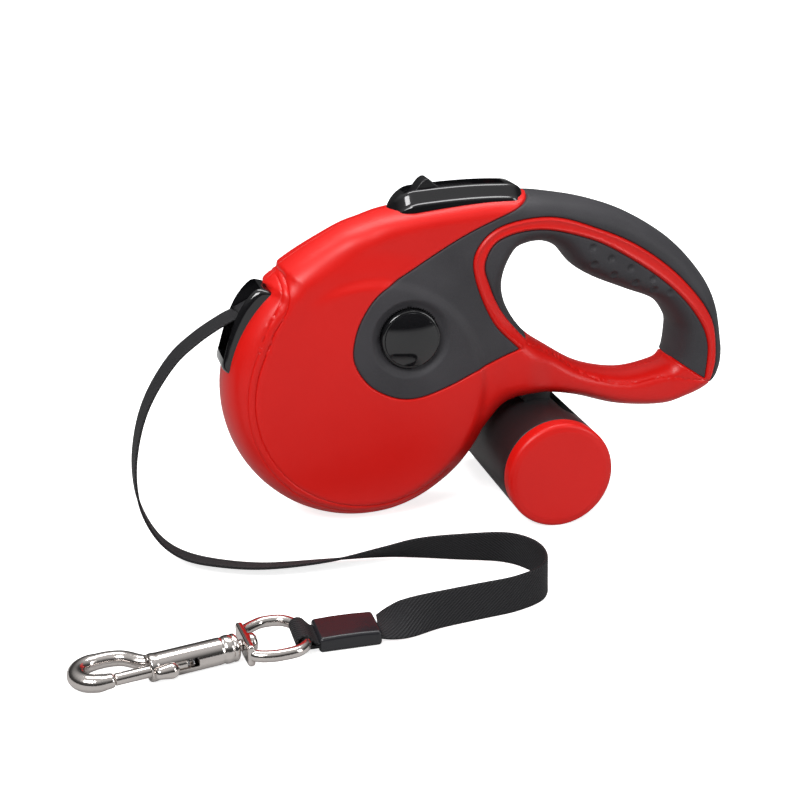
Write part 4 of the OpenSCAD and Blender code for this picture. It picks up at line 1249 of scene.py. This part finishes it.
for piece, slot in [(tape, "webbing"), *[(p, "body_red") for p in shells], *[(p, "grip") for p in panels],
                    (pad, "grip"), *[(p, "gloss_black") for p in hub_caps], (nozzle, "gloss_black"),
                    (bezel, "gloss_black"),
                    (button, "trim_black"), (tube, "tube_black"), (cap, "body_red"),
                    (sleeve, "sleeve_black"), (loop, "webbing"), (eye, "nickel"), (hook, "nickel"), (bolt, "nickel"),
                    (bolt_coil, "steel"), (brake_coil, "steel")]:
    dress(piece, slot)

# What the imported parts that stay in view, or show in the slots, are made of
KEPT = {
    "steel": ["tape_guide_pin", "pawl_pin", "brake_pawl", "mainspring", "axle", "case_screws"],
    "inner_plastic": ["brake_plunger", "reel", "spring_cover"],
    "bag_film": ["bag_roll"],
    "card": ["bag_core"]}
for slot, nodes in KEPT.items():
    for node in nodes:
        dress(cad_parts[node], slot)


def inner_tape():
    """Tape between the coil and the nozzle, and the outside of the coil."""
    low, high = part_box("tape_lead")
    ends = [(high.x / MM, high.z / MM), (low.x / MM, low.z / MM)]
    t = TAPE_THICK / 2 / math.cos(math.radians(LEAD_TILT))
    start, stop = (ends[0][0] - 0.2, ends[0][1] - t), (ends[1][0] + 0.2, ends[1][1] + t)
    route = [(start[0] + (stop[0] - start[0]) * k / 4, 0, start[1] + (stop[1] - start[1]) * k / 4, 0)
             for k in range(5)]
    lead = tape_ribbon("tape_in_nozzle", route, TAPE_WIDTH, TAPE_THICK)[0]
    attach(lead, "housing")
    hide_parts("tape_lead")
    dress(lead, "webbing")
    low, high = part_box("tape_coil")
    outer_r = (high.x - low.x) / 2 / MM
    x, z = (high.x + low.x) / 2 / MM, (high.z + low.z) / 2 / MM
    turns = [(25.8 + (outer_r - 0.05 - 25.8) * k / 40, 0.12 * (k % 2)) for k in range(41)]
    half = TAPE_WIDTH / 2
    profile = [(-half + d, r) for r, d in turns] + [(half - d, r) for r, d in reversed(turns)]
    profile.append(profile[0])
    coil = turned("tape_turns", profile, along_axis(x, 0, z, (0, 1, 0)), 96)
    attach(coil, "reel")
    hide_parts("tape_coil")
    return coil


coil = inner_tape()
FINISHES["tape_turns"] = paper("wound tape", (0.006, 0.006, 0.007), (0.026, 0.026, 0.028), 0.7)
dress(coil, "tape_turns")


# ---------------------------------------------------------------- studio
def studio():
    bpy.ops.mesh.primitive_grid_add(x_subdivisions=8, y_subdivisions=8, size=14.0)
    floor = bpy.context.active_object
    floor.name = "floor"
    bpy.ops.object.select_all(action="DESELECT")
    white = Finish("pale floor", (0.9, 0.9, 0.9), 0.8)
    grain = white.noise(white.coords((1.0, 1.0, 1.0)), 30.0, 2.0)
    seen = white.node("ShaderNodeLightPath", {}, {})
    white.tint((seen * 0.5 + grain * 0.03 + 0.35).clamp(), (0.02, 0.02, 0.02), (0.98, 0.98, 0.98))
    glow = {0: seen, 6: (0.06, 0.06, 0.06, 1.0), 7: (1.0, 1.0, 1.0, 1.0)}
    white.feed("Emission Color", white.node("ShaderNodeMix", {"data_type": "RGBA"}, glow, out=2))
    white.feed("Emission Strength", 0.82)
    floor.data.materials.append(white.material)

    def lamp(name, at, target, size, watts):
        data = bpy.data.lights.new(name, "AREA")
        data.shape = "RECTANGLE"
        data.size, data.size_y = size
        data.energy = watts
        light = bpy.data.objects.new(name, data)
        bpy.context.scene.collection.objects.link(light)
        light.location = at
        light.rotation_euler = (Vector(target) - Vector(at)).to_track_quat("-Z", "Y").to_euler()

    middle = (-0.03, 0.0, 0.05)
    lamp("key", (-0.75, -0.75, 1.05), middle, (0.8, 0.5), 14.5)
    lamp("fill", (1.0, -0.9, 0.55), middle, (0.35, 0.9), 5.0)
    lamp("top", (0.05, 0.25, 1.2), middle, (1.0, 0.45), 8.5)
    world = bpy.data.worlds.new("studio")
    bpy.context.scene.world = world
    world.use_nodes = True
    tree = world.node_tree
    back = tree.nodes["Background"]
    place = tree.nodes.new("ShaderNodeTexCoord")
    split = tree.nodes.new("ShaderNodeSeparateXYZ")
    ramp = tree.nodes.new("ShaderNodeValToRGB")
    tree.links.new(place.outputs["Generated"], split.inputs[0])
    tree.links.new(split.outputs[2], ramp.inputs[0])
    path = tree.nodes.new("ShaderNodeLightPath")
    mix = tree.nodes.new("ShaderNodeMix")
    mix.data_type = "RGBA"
    mix.inputs[7].default_value = (1.7, 1.7, 1.7, 1.0)
    tree.links.new(path.outputs["Is Camera Ray"], mix.inputs[0])
    tree.links.new(ramp.outputs[0], mix.inputs[6])
    tree.links.new(mix.outputs[2], back.inputs[0])
    stops = ramp.color_ramp.elements
    ramp.color_ramp.elements.new(0.4)
    for stop, (at, tone) in zip(stops, ((0.0, 0.04), (0.4, 0.12), (0.85, 1.0))):
        stop.position, stop.color = at, (tone, tone, tone, 1)
    back.inputs[1].default_value = 0.6


studio()
bpy.context.scene.view_settings.view_transform = "Standard"
